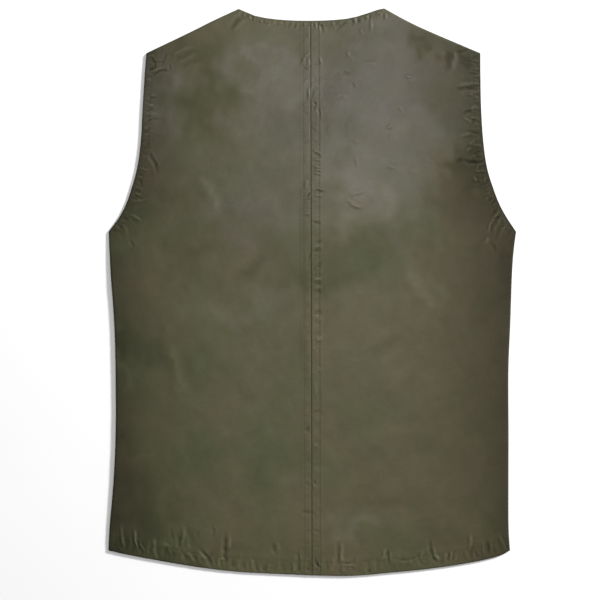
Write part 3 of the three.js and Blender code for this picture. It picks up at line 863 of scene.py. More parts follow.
SEAM_SIDES = {
    Side.LEFT: SeamSide(10.5, 5.5, 0.20, 0.09, 0.0333, 0.6, 0.52),
    Side.RIGHT: SeamSide(12.0, 3.2, 0.30, 0.20, 0.1000, 1.0, 0.0),
}


@dataclass(frozen=True)
class BackRelief:
    """What raises and sinks the outer face of one half of the back."""

    outline: Outline
    bed: Bed = Bed()
    crease_shape: CreaseShape = CreaseShape()
    crinkles: Crinkles = Crinkles()
    hem_turn: float = 19.0
    armhole_turn: float = 11.0
    neck_turn: float = 8.0
    turn_lift: float = 0.26
    turn_step: float = 9.0
    edge_round: float = 1.15
    stitch_inset: float = 1.6
    stitch_groove: float = 0.08
    groove_width: float = 1.2
    hole_share: float = 0.12
    seam_inset: float = 1.3
    band_wander: Wander = Wander(0.62, 0.38, 0.25, 1.2, Noise(90.0, 31, 12))
    ridge_wander: Wander = Wander(0.75, 0.35, 0.2, 1.5, Noise(40.0, 32, 12))
    ridge_place: float = 2.3
    ridge_width: float = 1.5
    ridge_back: float = 7.0
    calm_run: float = 12.0
    calm_edge: float = 0.3
    lip_open: float = 0.7
    lip_seam: float = 0.3
    lip_round: float = 0.8
    lip_run: float = 4.0
    least_wall: float = 0.35
    wall_run_sewn: float = 3.0
    wall_run_open: float = 2.0
    wall_edge: float = 0.2

    @property
    def seam_side(self) -> SeamSide:
        """This half's side of the middle seam."""
        return SEAM_SIDES[self.outline.half]

    @property
    def seam_line(self) -> float:
        """Way of the seam's topstitching from the seam."""
        return self.seam_side.band - self.seam_inset

    def turnings(self, edges: Outline) -> list[tuple[float, float]]:
        """Length and width of the hem's, the armhole's and the neck's turning on a panel."""
        turns = (
            (edges.hem, self.hem_turn),
            (edges.armhole, self.armhole_turn),
            (edges.neck, self.neck_turn),
        )
        return [(edge.length, turn) for edge, turn in turns]

    def stitch_rows(self) -> tuple[StitchRow, ...]:
        """The lines of topstitching on this half, just inside the turned leather's edge."""
        edges = self.outline
        return (
            StitchRow("hem", edges.hem, self.hem_turn - self.stitch_inset),
            StitchRow("armhole", edges.armhole, self.armhole_turn - self.stitch_inset),
            StitchRow("neck", edges.neck, self.neck_turn - self.stitch_inset),
            StitchRow("seam", edges.seam, self.seam_line),
        )

    def creases(self) -> list[Crease]:
        """All creases of this half: those placed one by one, the gathers and the seam's puckers."""
        rows = list(PLACED_CREASES)
        for seed, (word, rule) in enumerate(GATHERS.items(), GATHER_SEEDS[self.outline.half]):
            rows.extend(rule.creases(getattr(self.outline, word), seed))
        return rows

    def turned_edges(self, ways: Survey) -> np.ndarray:
        """Height of the turned leather: its lift inside each turn's width, with a soft step."""
        turns = (
            (ways.hem, self.hem_turn),
            (ways.armhole, self.armhole_turn),
            (ways.neck, self.neck_turn),
        )
        steps = [1.0 - smooth((way - turn) / self.turn_step) for way, turn in turns]
        return self.turn_lift * np.maximum.reduce(steps)

    def grooves(self, ways: Survey) -> np.ndarray:
        """Depth of the stitch lines: a bell across each one, deeper at every hole."""
        depth = np.zeros(len(ways.places))
        for row in self.stitch_rows():
            off = getattr(ways, row.word) - row.way_in
            turns = getattr(ways, f"{row.word}_along") / STITCH_PITCH
            holes = 1.0 - self.hole_share + self.hole_share * np.cos(2.0 * math.pi * turns)
            sunk = self.seam_side.groove if row.word == "seam" else self.stitch_groove
            depth = np.maximum(depth, sunk * bell(off / self.groove_width) * holes)
        return depth

    def seam(self, ways: Survey) -> np.ndarray:
        """Height of the middle seam: its flat band, the left panel's ridge and the rounded edge.

        The ridge falls steeply to the seam and gently away from it, and both it and the band wander
        in height along the seam.
        """
        side = self.seam_side
        along = np.column_stack([ways.places[:, 1], np.zeros(len(ways.places))])
        flat = 1.0 - smooth((ways.seam - side.band) / side.step)
        band = side.lift * self.band_wander.at(along) * flat
        way = ways.seam - self.ridge_place
        spread = np.where(way < 0.0, self.ridge_width, self.ridge_back)
        raised = side.ridge * self.ridge_wander.at(along) * bell(way / spread)
        drop = side.rounding * (1.0 - quarter_round(ways.seam, side.rounding))
        return band + raised - drop

    def inner(self, ways: Survey) -> np.ndarray:
        """Height of the plain inner face, down at the sewn edges and up at the free ones."""
        under = self.bed.under_back(ways)
        middle = self.bed.middle(under)
        plain = under + (middle + SEAM_GAP / 2.0 - under) * self.bed.turned(ways, middle)
        lip = self.lip_open * (1.0 - quarter_round(ways.open, self.lip_round))
        lip += self.lip_seam * (1.0 - quarter_round(ways.seam, self.lip_round))
        return plain + lip * smooth(ways.sewn / self.lip_run)

    def outer(self, ways: Survey) -> tuple[np.ndarray, np.ndarray]:
        """Height of the outer face.

        Args:
            ways: The places and their ways to the edges.

        Returns:
            The height of the face, which turns down at the sewn edges and is rounded at the free
            ones, and the height of the folds on it.
        """
        under = self.bed.under_back(ways)
        middle = self.bed.middle(under)
        folds = self.crease_shape.heights(self.creases(), ways.places)
        top = under + BACK_WALL + folds + self.turned_edges(ways) - self.grooves(ways)
        uneven = sum(height * noise.at(ways.places) for height, noise in UNEVENNESS)
        calm = smooth(ways.open / self.calm_run + self.calm_edge)
        top += self.seam(ways) + uneven * calm + self.crinkles.heights(ways)
        drop = self.edge_round * (1.0 - quarter_round(ways.open, self.edge_round))
        edge = middle + SEAM_GAP
        height = edge + (top - drop - edge) * quarter_round(ways.sewn, middle)
        wall = self.least_wall * smooth(ways.sewn / self.wall_run_sewn)
        wall *= smooth(ways.open / self.wall_run_open + self.wall_edge)
        return np.maximum(height, self.inner(ways) + wall), folds


@dataclass(frozen=True)
class Skin:
    """One face of a wall: the parameters of its rows and columns, and its points."""

    u: np.ndarray
    v: np.ndarray
    points: np.ndarray

    def numbers(self, first: int) -> np.ndarray:
        """The vertex numbers of the grid, from a first one on."""
        return np.arange(len(self.v) * len(self.u)).reshape(len(self.v), len(self.u)) + first

    def quads(self, first: int) -> np.ndarray:
        """The corners of each cell, turned to look up when u runs along +X."""
        grid = self.numbers(first)
        corners = [grid[:-1, :-1], grid[:-1, 1:], grid[1:, 1:], grid[1:, :-1]]
        return np.stack(corners, axis=-1).reshape(-1, 4)


def zipped(
    first: np.ndarray, first_at: np.ndarray, second: np.ndarray, second_at: np.ndarray
) -> np.ndarray:
    """Fills the strip between two lines of vertices that run side by side.

    The steps of both lines are sorted by where they end, and each makes one triangle with the
    vertex that the other line has reached.

    Args:
        first: Vertices of the first line.
        first_at: Where they are along it.
        second: Vertices of the second line.
        second_at: Where they are along it.

    Returns:
        The triangles, one a row.
    """
    order = np.argsort(np.concatenate([first_at[1:], second_at[1:]]), kind="stable")
    by_first = order < len(first) - 1
    i = np.cumsum(by_first) - by_first
    j = np.cumsum(~by_first) - ~by_first
    next_first = first[np.minimum(i + 1, len(first) - 1)]
    next_second = second[np.minimum(j + 1, len(second) - 1)]
    from_first = np.stack([first[i], next_first, second[j]], axis=-1)
    from_second = np.stack([first[i], next_second, second[j]], axis=-1)
    return np.where(by_first[:, None], from_first, from_second)


def write_mesh(name: str, places: np.ndarray, faces: Sequence[np.ndarray]) -> bpy.types.Object:
    """Makes an object of points and faces.

    Args:
        name: The object's name.
        places: The vertices in millimetres, one a row.
        faces: Arrays of vertex numbers, each with faces of one size.

    Returns:
        The object, smoothly shaded and in the scene.
    """
    corners = np.concatenate([kind.ravel() for kind in faces]).astype(np.int32)
    sizes = np.concatenate([np.full(len(kind), kind.shape[1]) for kind in faces])
    mesh = bpy.data.meshes.new(name)
    mesh.vertices.add(len(places))
    mesh.vertices.foreach_set("co", (places * MM).astype(np.float32).ravel())
    mesh.loops.add(len(corners))
    mesh.loops.foreach_set("vertex_index", corners)
    mesh.polygons.add(len(sizes))
    mesh.polygons.foreach_set("loop_start", (np.cumsum(sizes) - sizes).astype(np.int32))
    mesh.update(calc_edges=True)
    mesh.validate()
    mesh.shade_smooth()
    piece = bpy.data.objects.new(name, mesh)
    bpy.context.scene.collection.objects.link(piece)
    return piece


def store_layer(piece: bpy.types.Object, name: str, values: np.ndarray) -> None:
    """Stores one number for each vertex of a piece, for its material to read."""
    layer = piece.data.attributes.new(name, "FLOAT", "POINT")
    layer.data.foreach_set("value", values.astype(np.float32))


@dataclass(frozen=True)
class Wall:
    """A closed thin wall between an upper and a lower skin with the same outline."""

    half: Side
    upper: Skin
    lower: Skin

    @property
    def points(self) -> np.ndarray:
        """All its vertices, the upper skin's first."""
        return np.vstack([self.upper.points, self.lower.points])

    def build(self, name: str) -> bpy.types.Object:
        """Makes the wall's object: both skins, and the four strips that join their borders."""
        top = self.upper.numbers(0)
        low = self.lower.numbers(top.size)
        u, v, lower_u, lower_v = self.upper.u, self.upper.v, self.lower.u, self.lower.v
        quads = np.vstack([self.upper.quads(0), self.lower.quads(top.size)[:, ::-1]])
        rims = np.vstack(
            [
                zipped(low[0], lower_u, top[0], u),
                zipped(top[-1], u, low[-1], lower_u),
                zipped(low[:, -1], lower_v, top[:, -1], v),
                zipped(top[:, 0], v, low[:, 0], lower_v),
            ]
        )
        if self.half is Side.LEFT:
            quads, rims = quads[:, ::-1], rims[:, ::-1]
        return write_mesh(name, self.points, [quads, rims])


class Cloud(NamedTuple):
    """A soft patch of the leather: its middle, its reaches, its turn in degrees, its changes."""

    x: float
    y: float
    reach: float
    across: float
    turn: float
    tone: float
    warm: float
    polish: float


# Patches of the leather's own mottling, browning and polish. Near the sides their tone also deepens
# or eases the painted side shade, and their polish also lays painted sheen.
CLOUDS = tuple(
    Cloud(*row)
    for row in (
        (10, 225, 200, 150, 0, 0.0, 0.0, 0.42), (85, 265, 90, 75, 0, 0.0, 0.0, 0.40),
        (100, 320, 42, 24, 0, 0.05, 0.0, 0.25), (-18, 219, 24, 24, 0, -0.12, 0.0, 0.0),
        (-52, 165, 26, 22, 0, -0.07, 0.0, 0.0), (92, 215, 70, 90, 0, 0.02, 0.05, 0.16),
        (62, 131, 46, 38, 5, 0.28, 0.08, 0.28), (-64, 276, 58, 30, 0, 0.09, 0.0, 0.26),
        (-53, 297, 26, 7, 3, 0.07, 0.0, 0.15), (-126, 250, 24, 68, 0, -0.16, -0.20, -0.36),
        (-205, 252, 24, 70, 0, 0.20, 0.10, 0.62), (-86, 104, 66, 28, 0, -0.03, 0.05, 0.34),
        (-168, 117, 22, 30, 0, -0.12, 0.0, -0.15), (-143, 51, 32, 38, 0, -0.13, -0.10, -0.20),
        (-66, 66, 85, 55, 0, -0.09, 0.0, 0.0), (8, 15, 50, 28, 0, -0.16, 0.0, 0.0),
        (-245, 62, 18, 24, 0, 0.10, 0.0, 0.10), (-245, -86, 14, 30, 0, 0.24, 0.0, 0.0),
        (73, 57, 60, 36, 0, -0.08, -0.15, -0.20), (140, 28, 16, 50, 0, 0.06, 0.0, 0.10),
        (130, 168, 30, 60, 0, 0.08, 0.0, 0.10), (168, 80, 13, 110, 0, -0.05, 0.10, -0.10),
        (-92, -23, 78, 24, 0, 0.03, 0.10, 0.20), (-194, -74, 62, 32, -25, -0.14, -0.20, 0.0),
        (-111, -207, 88, 30, 4, -0.10, -0.15, 0.0), (184, -137, 26, 190, 0, -0.06, 0.20, 0.0),
        (215, 40, 45, 110, 0, -0.08, 0.25, -0.10), (206, 130, 30, 58, 0, -0.06, 0.05, -0.40),
        (208, 166, 20, 30, 0, -0.10, -0.20, -0.15), (250, -60, 20, 220, 0, 0.0, 0.12, 0.0),
        (-213, -296, 52, 45, 10, -0.28, -0.25, -0.10), (-168, -341, 34, 17, 0, -0.30, 0.0, 0.0),
        (52, -294, 36, 18, 0, 0.20, 0.0, 0.28), (195, -290, 30, 30, 0, 0.09, 0.10, 0.0),
        (60, -262, 75, 14, 0, -0.05, 0.15, 0.0), (143, 328, 15, 8, 10, -0.20, 0.0, -0.30),
        (174, 294, 5, 17, -8, -0.14, 0.35, -0.30), (196, 212, 11, 4, 10, -0.10, 0.10, -0.20),
        (190, 170, 15, 6, 0, -0.06, 0.10, -0.20), (123, 274, 8, 5, 0, 0.08, 0.0, 0.30),
        (170, 172, 18, 28, 0, 0.13, 0.0, 0.14), (61, 112, 24, 16, 0, 0.08, 0.0, 0.10),
        (137, 219, 24, 30, 0, 0.08, 0.0, 0.06), (99, 66, 26, 20, 0, 0.02, 0.0, 0.16),
        (-54, 15, 34, 30, 0, -0.09, 0.0, 0.0), (-245, -188, 26, 56, 0, -0.10, 0.0, 0.0),
        (-206, -239, 32, 28, 0, -0.08, 0.0, 0.0), (252, 40, 13, 42, 0, -0.14, 0.0, 0.0),
    )
)


class Shade(NamedTuple):
    """Painted shade on the leather at the side and the armhole: how dark it gets there, and how that
    dies away inwards.
    """

    depth: float
    reach: float
    power: float


SHADES = {Side.LEFT: Shade(0.61, 54.0, 1.15), Side.RIGHT: Shade(0.56, 72.0, 1.3)}


@dataclass(frozen=True)
class Wear:
    """Where the leather is darker or lighter, browner and more polished, and where shade, highlights
    and sheen are painted on it.
    """

    outline: Outline
    stitch_line: float
    ragged: float = 9.0
    ragged_x: tuple[Noise, Noise] = (Noise(70.0, 71), Noise(24.0, 72))
    ragged_y: tuple[Noise, Noise] = (Noise(70.0, 73), Noise(24.0, 74))
    fine_share: float = 0.5
    trough_tone: float = 0.24
    ridge_tone: float = 0.46
    seam_dirt: float = 0.18
    dirt_width: float = 1.1
    edge_dirt: float = 0.26
    edge_width: float = 1.5
    stitch_width: float = 0.9

    def layers(self, ways: Survey, folds: np.ndarray) -> dict[str, np.ndarray]:
        """The three layers that the leather's material reads.

        The patches' outlines are made ragged by moving the places with two sizes of noise.

        Args:
            ways: The places and their ways to the edges.
            folds: Height of the folds at each place.

        Returns:
            By name: tone, which multiplies the colour and holds the painted shade and highlights,
                warm,
            which turns it brown, and polish, which smooths it and lays the painted sheen.
        """
        half = self.outline.half
        shade = SHADES[half]
        # Painted shade: the colour darkens towards the side and the armhole.
        outer = np.minimum(ways.side, ways.armhole) / shade.reach
        tone = 1.0 - shade.depth * np.exp(-(outer**shade.power))
        # Painted shade in the folds' troughs and painted highlights on their ridges.
        tone += np.where(folds > 0.0, self.ridge_tone, self.trough_tone) * folds
        # Painted shade in the gap of the middle seam.
        tone -= self.seam_dirt * bell(ways.seam / self.dirt_width)
        # Painted shade along the rolled rims of the open edges.
        tone -= self.edge_dirt * bell(ways.open / self.edge_width)
        # Painted shade along the seam's stitch line.
        tone -= SEAM_SIDES[half].dirt * bell((ways.seam - self.stitch_line) / self.stitch_width)
        layers = {"tone": tone, "warm": np.zeros(len(tone)), "polish": np.zeros(len(tone))}
        pairs = zip(ways.places.T, (self.ragged_x, self.ragged_y), strict=True)
        x, y = (
            place + self.ragged * (broad.at(ways.places) + self.fine_share * fine.at(ways.places))
            for place, (broad, fine) in pairs
        )
        for cloud in CLOUDS:
            angle = math.radians(cloud.turn)
            along = (x - cloud.x) * math.cos(angle) + (y - cloud.y) * math.sin(angle)
            across = (y - cloud.y) * math.cos(angle) - (x - cloud.x) * math.sin(angle)
            share = bell(np.hypot(along / cloud.reach, across / cloud.across))
            for name, values in layers.items():
                values += getattr(cloud, name) * share
        return layers


class Pattern(NamedTuple):
    """A noise in a material: its patches' size in millimetres, and how it is broken up."""

    size: float
    detail: float
    roughness: float = 0.5
    warp: float = 0.0


UNIT: Span = (0.0, 1.0)
NOISE_SPAN: Span = (0.3, 0.7)
# Socket numbers of a node that mixes two colours
MIX_SHARE, MIX_FIRST, MIX_SECOND, MIX_RESULT = 0, 6, 7, 2


class Nodes:
    """Adds nodes to one new material and joins them."""

    def __init__(self, name: str) -> None:
        """Makes the material with a bare shader."""
        self.material = bpy.data.materials.new(name)
        self.material.use_nodes = True
        self.tree = self.material.node_tree
        self.shader = self.tree.nodes["Principled BSDF"]

    def put(self, socket: bpy.types.NodeSocket, value: Any) -> None:
        """Links a socket to another one, or sets its value."""
        if isinstance(value, bpy.types.NodeSocket):
            self.tree.links.new(value, socket)
        else:
            socket.default_value = value

    def add(self, kind: str, inputs: Mapping[int | str, Any], **settings: Any) -> bpy.types.Node:
        """Adds a node.

        Args:
            kind: The node's type, without its first words.
            inputs: Values or sockets for its inputs, by number or name.
            settings: The node's own settings.

        Returns:
            The node.
        """
        node = self.tree.nodes.new(f"ShaderNode{kind}")
        for key, setting in settings.items():
            setattr(node, key, setting)
        for key, value in inputs.items():
            self.put(node.inputs[key], value)
        return node

    def place(self) -> bpy.types.NodeSocket:
        """The point in the object's own coordinates."""
        return self.add("TexCoord", {}).outputs["Object"]

    def layer(self, name: str) -> bpy.types.NodeSocket:
        """A layer that is stored on the mesh."""
        return self.add("Attribute", {}, attribute_name=name).outputs["Fac"]

    def noise(self, pattern: Pattern) -> bpy.types.NodeSocket:
        """Noise from 0 to 1."""
        inputs = {
            "Vector": self.place(),
            "Scale": 1.0 / (pattern.size * MM),
            "Detail": pattern.detail,
            "Roughness": pattern.roughness,
            "Distortion": pattern.warp,
        }
        return self.add("TexNoise", inputs).outputs["Fac"]

    def mottled(self, pattern: Pattern, low_and_high: Span) -> bpy.types.NodeSocket:
        """Noise stretched between two values, which its darkest and lightest parts reach."""
        return self.between(self.noise(pattern), NOISE_SPAN, low_and_high)

    def cells(self, size: float, smoothness: float) -> bpy.types.NodeSocket:
        """Distance to the middle of soft cells of the given size in millimetres."""
        inputs = {"Vector": self.place(), "Scale": 1.0 / (size * MM), "Smoothness": smoothness}
        return self.add("TexVoronoi", inputs, feature="SMOOTH_F1").outputs["Distance"]

    def math(self, operation: str, first: Any, second: Any) -> bpy.types.NodeSocket:
        """The result of one sum."""
        return self.add("Math", {0: first, 1: second}, operation=operation).outputs[0]

    def between(self, value: Any, span: Span, to_span: Span) -> bpy.types.NodeSocket:
        """Maps one range of values to another one, and keeps the result inside it."""
        inputs = {
            "Value": value,
            "From Min": span[0],
            "From Max": span[1],
            "To Min": to_span[0],
            "To Max": to_span[1],
        }
        return self.add("MapRange", inputs).outputs["Result"]

    def colour(self, red: Any, green: Any, blue: Any) -> bpy.types.NodeSocket:
        """A colour made of three values."""
        return self.add("CombineColor", {0: red, 1: green, 2: blue}).outputs[0]

    def blend(self, kind: str, share: Any, first: Any, second: Any) -> bpy.types.NodeSocket:
        """Blends two colours."""
        inputs = {MIX_SHARE: share}
        for socket, value in ((MIX_FIRST, first), (MIX_SECOND, second)):
            inputs[socket] = (*value, 1.0) if isinstance(value, tuple) else value
        node = self.add("Mix", inputs, data_type="RGBA", blend_type=kind)
        return node.outputs[MIX_RESULT]

    def shade(self, name: str, value: Any) -> None:
        """Sets one of the shader's inputs, or links it."""
        self.put(self.shader.inputs[name], value)

    def relief(self, height: bpy.types.NodeSocket, strength: float, depth: float) -> None:
        """Gives the shader a relief of the given depth in metres."""
        bump = self.add("Bump", {"Height": height, "Strength": strength, "Distance": depth})
        self.shade("Normal", bump.outputs["Normal"])


@dataclass(frozen=True)
class Leather:
    """Soft olive garment leather with a fine grain and a dull sheen."""

    name: str
    green: Colour = (0.0660, 0.0685, 0.0290)
    brown: Colour = (0.0840, 0.0705, 0.0360)
    # Colour of rubbed leather and of the painted sheen, laid over the hue where the polish layer is
    # high.
    rubbed: Colour = (0.0905, 0.0818, 0.0650)
    hues: Pattern = Pattern(90.0, 4.0, 0.55)
    hue_span: Span = (0.32, 0.72)
    mottles: Pattern = Pattern(28.0, 5.0, 0.6, 0.4)
    mottle_tones: Span = (0.90, 1.10)
    shade_power: float = 1.15
    bloom: Pattern = Pattern(22.0, 5.0, 0.6, 0.4)
    bloom_shares: Span = (0.75, 1.25)
    gloss: Pattern = Pattern(34.0, 5.0, 0.6, 0.3)
    roughness: Span = (0.52, 0.45)
    polish_gain: float = -0.10
    shaded_tones: Span = (0.4, 1.0)
    dullness: Span = (0.30, 0.0)
    specular: float = 0.27
    pebble_size: float = 1.5
    pebble_smoothness: float = 0.5
    pebble_share: float = 0.5
    pores: Pattern = Pattern(5.0, 4.0, 0.6, 0.6)
    pore_share: float = 1.5
    grain: float = 0.4
    grain_depth: float = 0.00022

    def material(self) -> bpy.types.Material:
        """Builds the material.

        Broad clouds and the warm layer mix the green with the brown, a finer noise and the tone
        layer lighten and darken it, the tone layer with painted shade and painted highlights, and the
        polish layer lays a patchy grey painted sheen over it, partly the colour of rubbed leather.
        Polish makes it smoother and the painted shade makes it duller. Soft cells and a noise raise
        the grain.

        Returns:
            The material.
        """
        nodes = Nodes(self.name)
        clouds = nodes.math("ADD", nodes.noise(self.hues), nodes.layer("warm"))
        browned = nodes.between(clouds, self.hue_span, UNIT)
        hue = nodes.blend("MIX", browned, self.green, self.brown)
        mottle = nodes.mottled(self.mottles, self.mottle_tones)
        tone = nodes.math("MULTIPLY", mottle, nodes.layer("tone"))
        # Blue falls faster where the tone is low, in the painted shade too.
        tones = nodes.colour(tone, tone, nodes.math("POWER", tone, self.shade_power))
        # Painted sheen: a patchy grey mixed into the colour where the polish layer is high.
        patchy = nodes.mottled(self.bloom, self.bloom_shares)
        bloom = nodes.between(nodes.math("MULTIPLY", nodes.layer("polish"), patchy), UNIT, UNIT)
        shown = nodes.blend("MIX", bloom, hue, self.rubbed)
        nodes.shade("Base Color", nodes.blend("MULTIPLY", 1.0, shown, tones))

        gloss = nodes.mottled(self.gloss, self.roughness)
        polished = nodes.math("MULTIPLY", nodes.layer("polish"), self.polish_gain)
        dull = nodes.between(nodes.layer("tone"), self.shaded_tones, self.dullness)
        worn = nodes.math("ADD", polished, dull)
        nodes.shade("Roughness", nodes.math("ADD", gloss, worn))
        nodes.shade("Specular IOR Level", self.specular)

        cells = nodes.cells(self.pebble_size, self.pebble_smoothness)
        pebbles = nodes.math("MULTIPLY", cells, self.pebble_share)
        pores = nodes.math("MULTIPLY", nodes.noise(self.pores), self.pore_share)
        nodes.relief(nodes.math("ADD", pebbles, pores), self.grain, self.grain_depth)
        return nodes.material


@dataclass(frozen=True)
class Thread:
    """Dull sewing thread, a little darker than the leather."""

    name: str
    fresh: Colour = (0.060, 0.059, 0.030)
    worn: Colour = (0.074, 0.070, 0.036)
    patches: Pattern = Pattern(3.0, 3.0)
    patch_span: Span = (0.35, 0.65)
    roughness: float = 0.8
    specular: float = 0.1
    twist: Pattern = Pattern(0.3, 2.0)
    twist_strength: float = 0.4
    twist_depth: float = 0.0001

    def material(self) -> bpy.types.Material:
        """Builds the material: two tones in patches, darkened by the leather's painted shade, and a
        fine twist.
        """
        nodes = Nodes(self.name)
        patches = nodes.between(nodes.noise(self.patches), self.patch_span, UNIT)
        # The leather's tone layer, with its painted shade.
        tone = nodes.layer("tone")
        mixed = nodes.blend("MIX", patches, self.fresh, self.worn)
        shaded = nodes.blend("MULTIPLY", 1.0, mixed, nodes.colour(tone, tone, tone))
        nodes.shade("Base Color", shaded)
        nodes.shade("Roughness", self.roughness)
        nodes.shade("Specular IOR Level", self.specular)
        nodes.relief(nodes.noise(self.twist), self.twist_strength, self.twist_depth)
        return nodes.material


@dataclass(frozen=True)
class Paper:
    """The studio's pale floor."""

    name: str = "studio_paper"
    colour: Colour = (0.94, 0.94, 0.94)
    roughness: float = 0.9
    patches: Pattern = Pattern(300.0, 2.0)
    tones: Span = (0.985, 1.0)

    def material(self) -> bpy.types.Material:
        """Builds the material, with a trace of unevenness in its tone."""
        nodes = Nodes(self.name)
        tone = nodes.mottled(self.patches, self.tones)
        shown = nodes.blend("MULTIPLY", 1.0, self.colour, nodes.colour(tone, tone, tone))
        nodes.shade("Base Color", shown)
        nodes.shade("Roughness", self.roughness)
        return nodes.material


# Ways in from an edge at which there is always a step, on outer faces and on plain ones
NEAR_EDGE = (0.0, 0.12, 0.35, 0.7, 1.15, 1.7, 2.4)
NEAR_EDGE_INSIDE = (0.0, 0.3, 0.8, 1.6, 2.1, 2.9, 4.2)


@dataclass(frozen=True)
class BackPanel:
    """One half of the back: a leather shell with its folds, and the stitching on it."""

    half: Side
    seam_zone: float = 16.0
    outer_zone: float = 48.0
    hem_zone: float = 56.0
    fine: float = 0.78
    plain_across: float = 2.0
    plain_up: float = 2.5
    armhole_fine: float = 0.95
    inside_step: float = 16.0
    inside_step_up: float = 16.0 / 3.0
    allowance: float = 10.0

    @cached_property
    def outline(self) -> Outline:
        """Its edges."""
        return Outline.of_back(self.half)

    @cached_property
    def relief(self) -> BackRelief:
        """Its heights."""
        return BackRelief(self.outline)

    @property
    def wear(self) -> Wear:
        """Its worn places, and its painted shade, highlights and sheen."""
        return Wear(self.outline, self.relief.seam_line)

    def outer_skin(self) -> tuple[Skin, Survey, np.ndarray]:
        """The fine outer face: its skin, its places' ways to the edges, and its folds' heights."""
        edges = self.outline
        middle = (edges.width - self.outer_zone, self.plain_across)
        bands_u = ((self.seam_zone, self.fine), middle, (edges.width, self.fine))
        u = graded(edges.width, NEAR_EDGE, bands_u, edges.neck_point)
        bands_v = (
            (self.hem_zone, self.fine),
            (edges.side.length, self.plain_up),
            (edges.height, self.armhole_fine),
        )
        v = graded(edges.height, NEAR_EDGE, bands_v)
        places = edges.plan(u, v).reshape(-1, 2)
        ways = edges.survey(places)
        height, folds = self.relief.outer(ways)
        return Skin(u, v, np.column_stack([places, height])), ways, folds

    def inner_skin(self) -> tuple[Skin, Survey]:
        """The plain inner face: its skin, and its places' ways to the edges."""
        edges = self.outline
        band = (edges.width, self.inside_step)
        u = graded(edges.width, NEAR_EDGE_INSIDE, (band,), edges.neck_point)
        bands = ((edges.side.length, self.inside_step), (edges.height, self.inside_step_up))
        v = graded(edges.height, NEAR_EDGE_INSIDE, bands)
        places = edges.plan(u, v).reshape(-1, 2)
        ways = edges.survey(places)
        return Skin(u, v, np.column_stack([places, self.relief.inner(ways)])), ways

    def cut(self) -> Cut:
        """The flat piece, with its three turnings and its seam allowances."""
        edges, relief = self.outline, self.relief
        strips = [
            *relief.turnings(edges),
            (edges.seam.length, relief.seam_side.band),
            (edges.side.length + edges.shoulder.length, self.allowance),
        ]
        across = relief.seam_side.band + self.allowance
        return edges.cut(across, relief.hem_turn + self.allowance, strips)

    def build(self, leather: bpy.types.Material) -> bpy.types.Object:
        """Makes the panel and its layers of wear, painted shade and painted sheen."""
        outer, ways, folds = self.outer_skin()
        inner, inner_ways = self.inner_skin()
        panel = Wall(self.half, outer, inner).build(f"{self.half.word}_back_leather")
        wear = self.wear
        shown = wear.layers(ways, folds)
        hidden = wear.layers(inner_ways, np.zeros(len(inner_ways.places)))
        for name, values in shown.items():
            store_layer(panel, name, np.concatenate([values, hidden[name]]))
        panel.data.materials.append(leather)
        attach(panel, BODY)
        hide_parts(f"back_{self.half.word}")
        return panel


@dataclass(frozen=True)
class FrontPanel:
    """One front, which lies under the back: plain, flat on the surface, with a V for a neck."""

    back: BackPanel
    hem_rise: float = 3.0
    armhole_in: float = 4.0
    opening: float = 0.6
    v_bow: float = 4.0
    edge_round: float = 0.7
    step: float = 9.0
    step_up: float = 4.5
    shape_points: int = 13
    rise_power: int = 4
    hollow_power: float = 0.7
    lip_run: float = 4.0
    least_wall: float = 0.02
    allowance: float = 10.0

    @cached_property
    def outline(self) -> Outline:
        """Its edges: the back's, with hem and armhole set in, and a V."""
        back = self.back.outline
        sign = back.half.value
        middle = CENTRE_SEAM + sign * self.opening
        shares = np.linspace(0.0, 1.0, self.shape_points)
        hem = back.hem.at(shares)
        hem += np.outer(1.0 - shares**self.rise_power, [0.0, self.hem_rise])
        hem[0, 0] = middle
        inward = np.sin(math.pi * shares).clip(0.0) ** self.hollow_power
        armhole = back.armhole.at(shares) - np.outer(inward, [sign * self.armhole_in, 0.0])
        top = back.shoulder.points[0]
        foot = np.array([middle, top[1] - FRONT_V_DEPTH])
        bow = (foot + top) / 2.0 + [sign * self.v_bow, 0.0]
        return Outline(
            half=back.half,
            hem=Path.through(hem, sign),
            side=back.side,
            armhole=Path.through(armhole, sign),
            neck=Path.through([foot, bow, top], -sign),
            shoulder=back.shoulder,
            seam=Path.through([hem[0], foot], -sign),
        )

    def skins(self) -> tuple[Skin, Skin]:
        """The inner face above and the outer face below, flat where it rests."""
        edges = self.outline
        band = (edges.width, self.step)
        u = graded(edges.width, NEAR_EDGE_INSIDE, (band,), edges.neck_point)
        bands = ((edges.side.length, self.step), (edges.height, self.step_up))
        v = graded(edges.height, NEAR_EDGE_INSIDE, bands)
        places = edges.plan(u, v).reshape(-1, 2)
        own = edges.survey(places)
        above = self.back.outline.survey(places)
        bed = self.back.relief.bed
        middle = bed.middle(bed.under_back(above))
        free = 1.0 - quarter_round(np.minimum(own.open, own.seam), self.edge_round)
        free *= self.edge_round * smooth(own.sewn / self.lip_run)
        rise = (middle - SEAM_GAP / 2.0 - FRONT_WALL) * bed.turned(own, middle)
        upper = FRONT_WALL + rise - free
        lower = (middle - SEAM_GAP) * (1.0 - quarter_round(own.sewn, middle)) + free
        lower = np.minimum(lower, upper - self.least_wall)
        return tuple(Skin(u, v, np.column_stack([places, height])) for height in (upper, lower))

    def cut(self) -> Cut:
        """The flat piece, with its three turnings and its seam allowances."""
        edges, relief = self.outline, self.back.relief
        sewn = edges.side.length + edges.shoulder.length + edges.seam.length
        strips = [*relief.turnings(edges), (sewn, self.allowance)]
        return edges.cut(2.0 * self.allowance, relief.hem_turn + self.allowance, strips)

    def build(self, leather: bpy.types.Material) -> bpy.types.Object:
        """Makes the panel."""
        half = self.back.half
        wall = Wall(half, *self.skins())
        panel = wall.build(f"{half.word}_front_leather")
        for name, value in (("tone", 1.0), ("warm", 0.0), ("polish", 0.0)):
            store_layer(panel, name, np.full(len(wall.points), value))
        panel.data.materials.append(leather)
        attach(panel, BODY)
        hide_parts(f"front_{half.word}")
        return panel


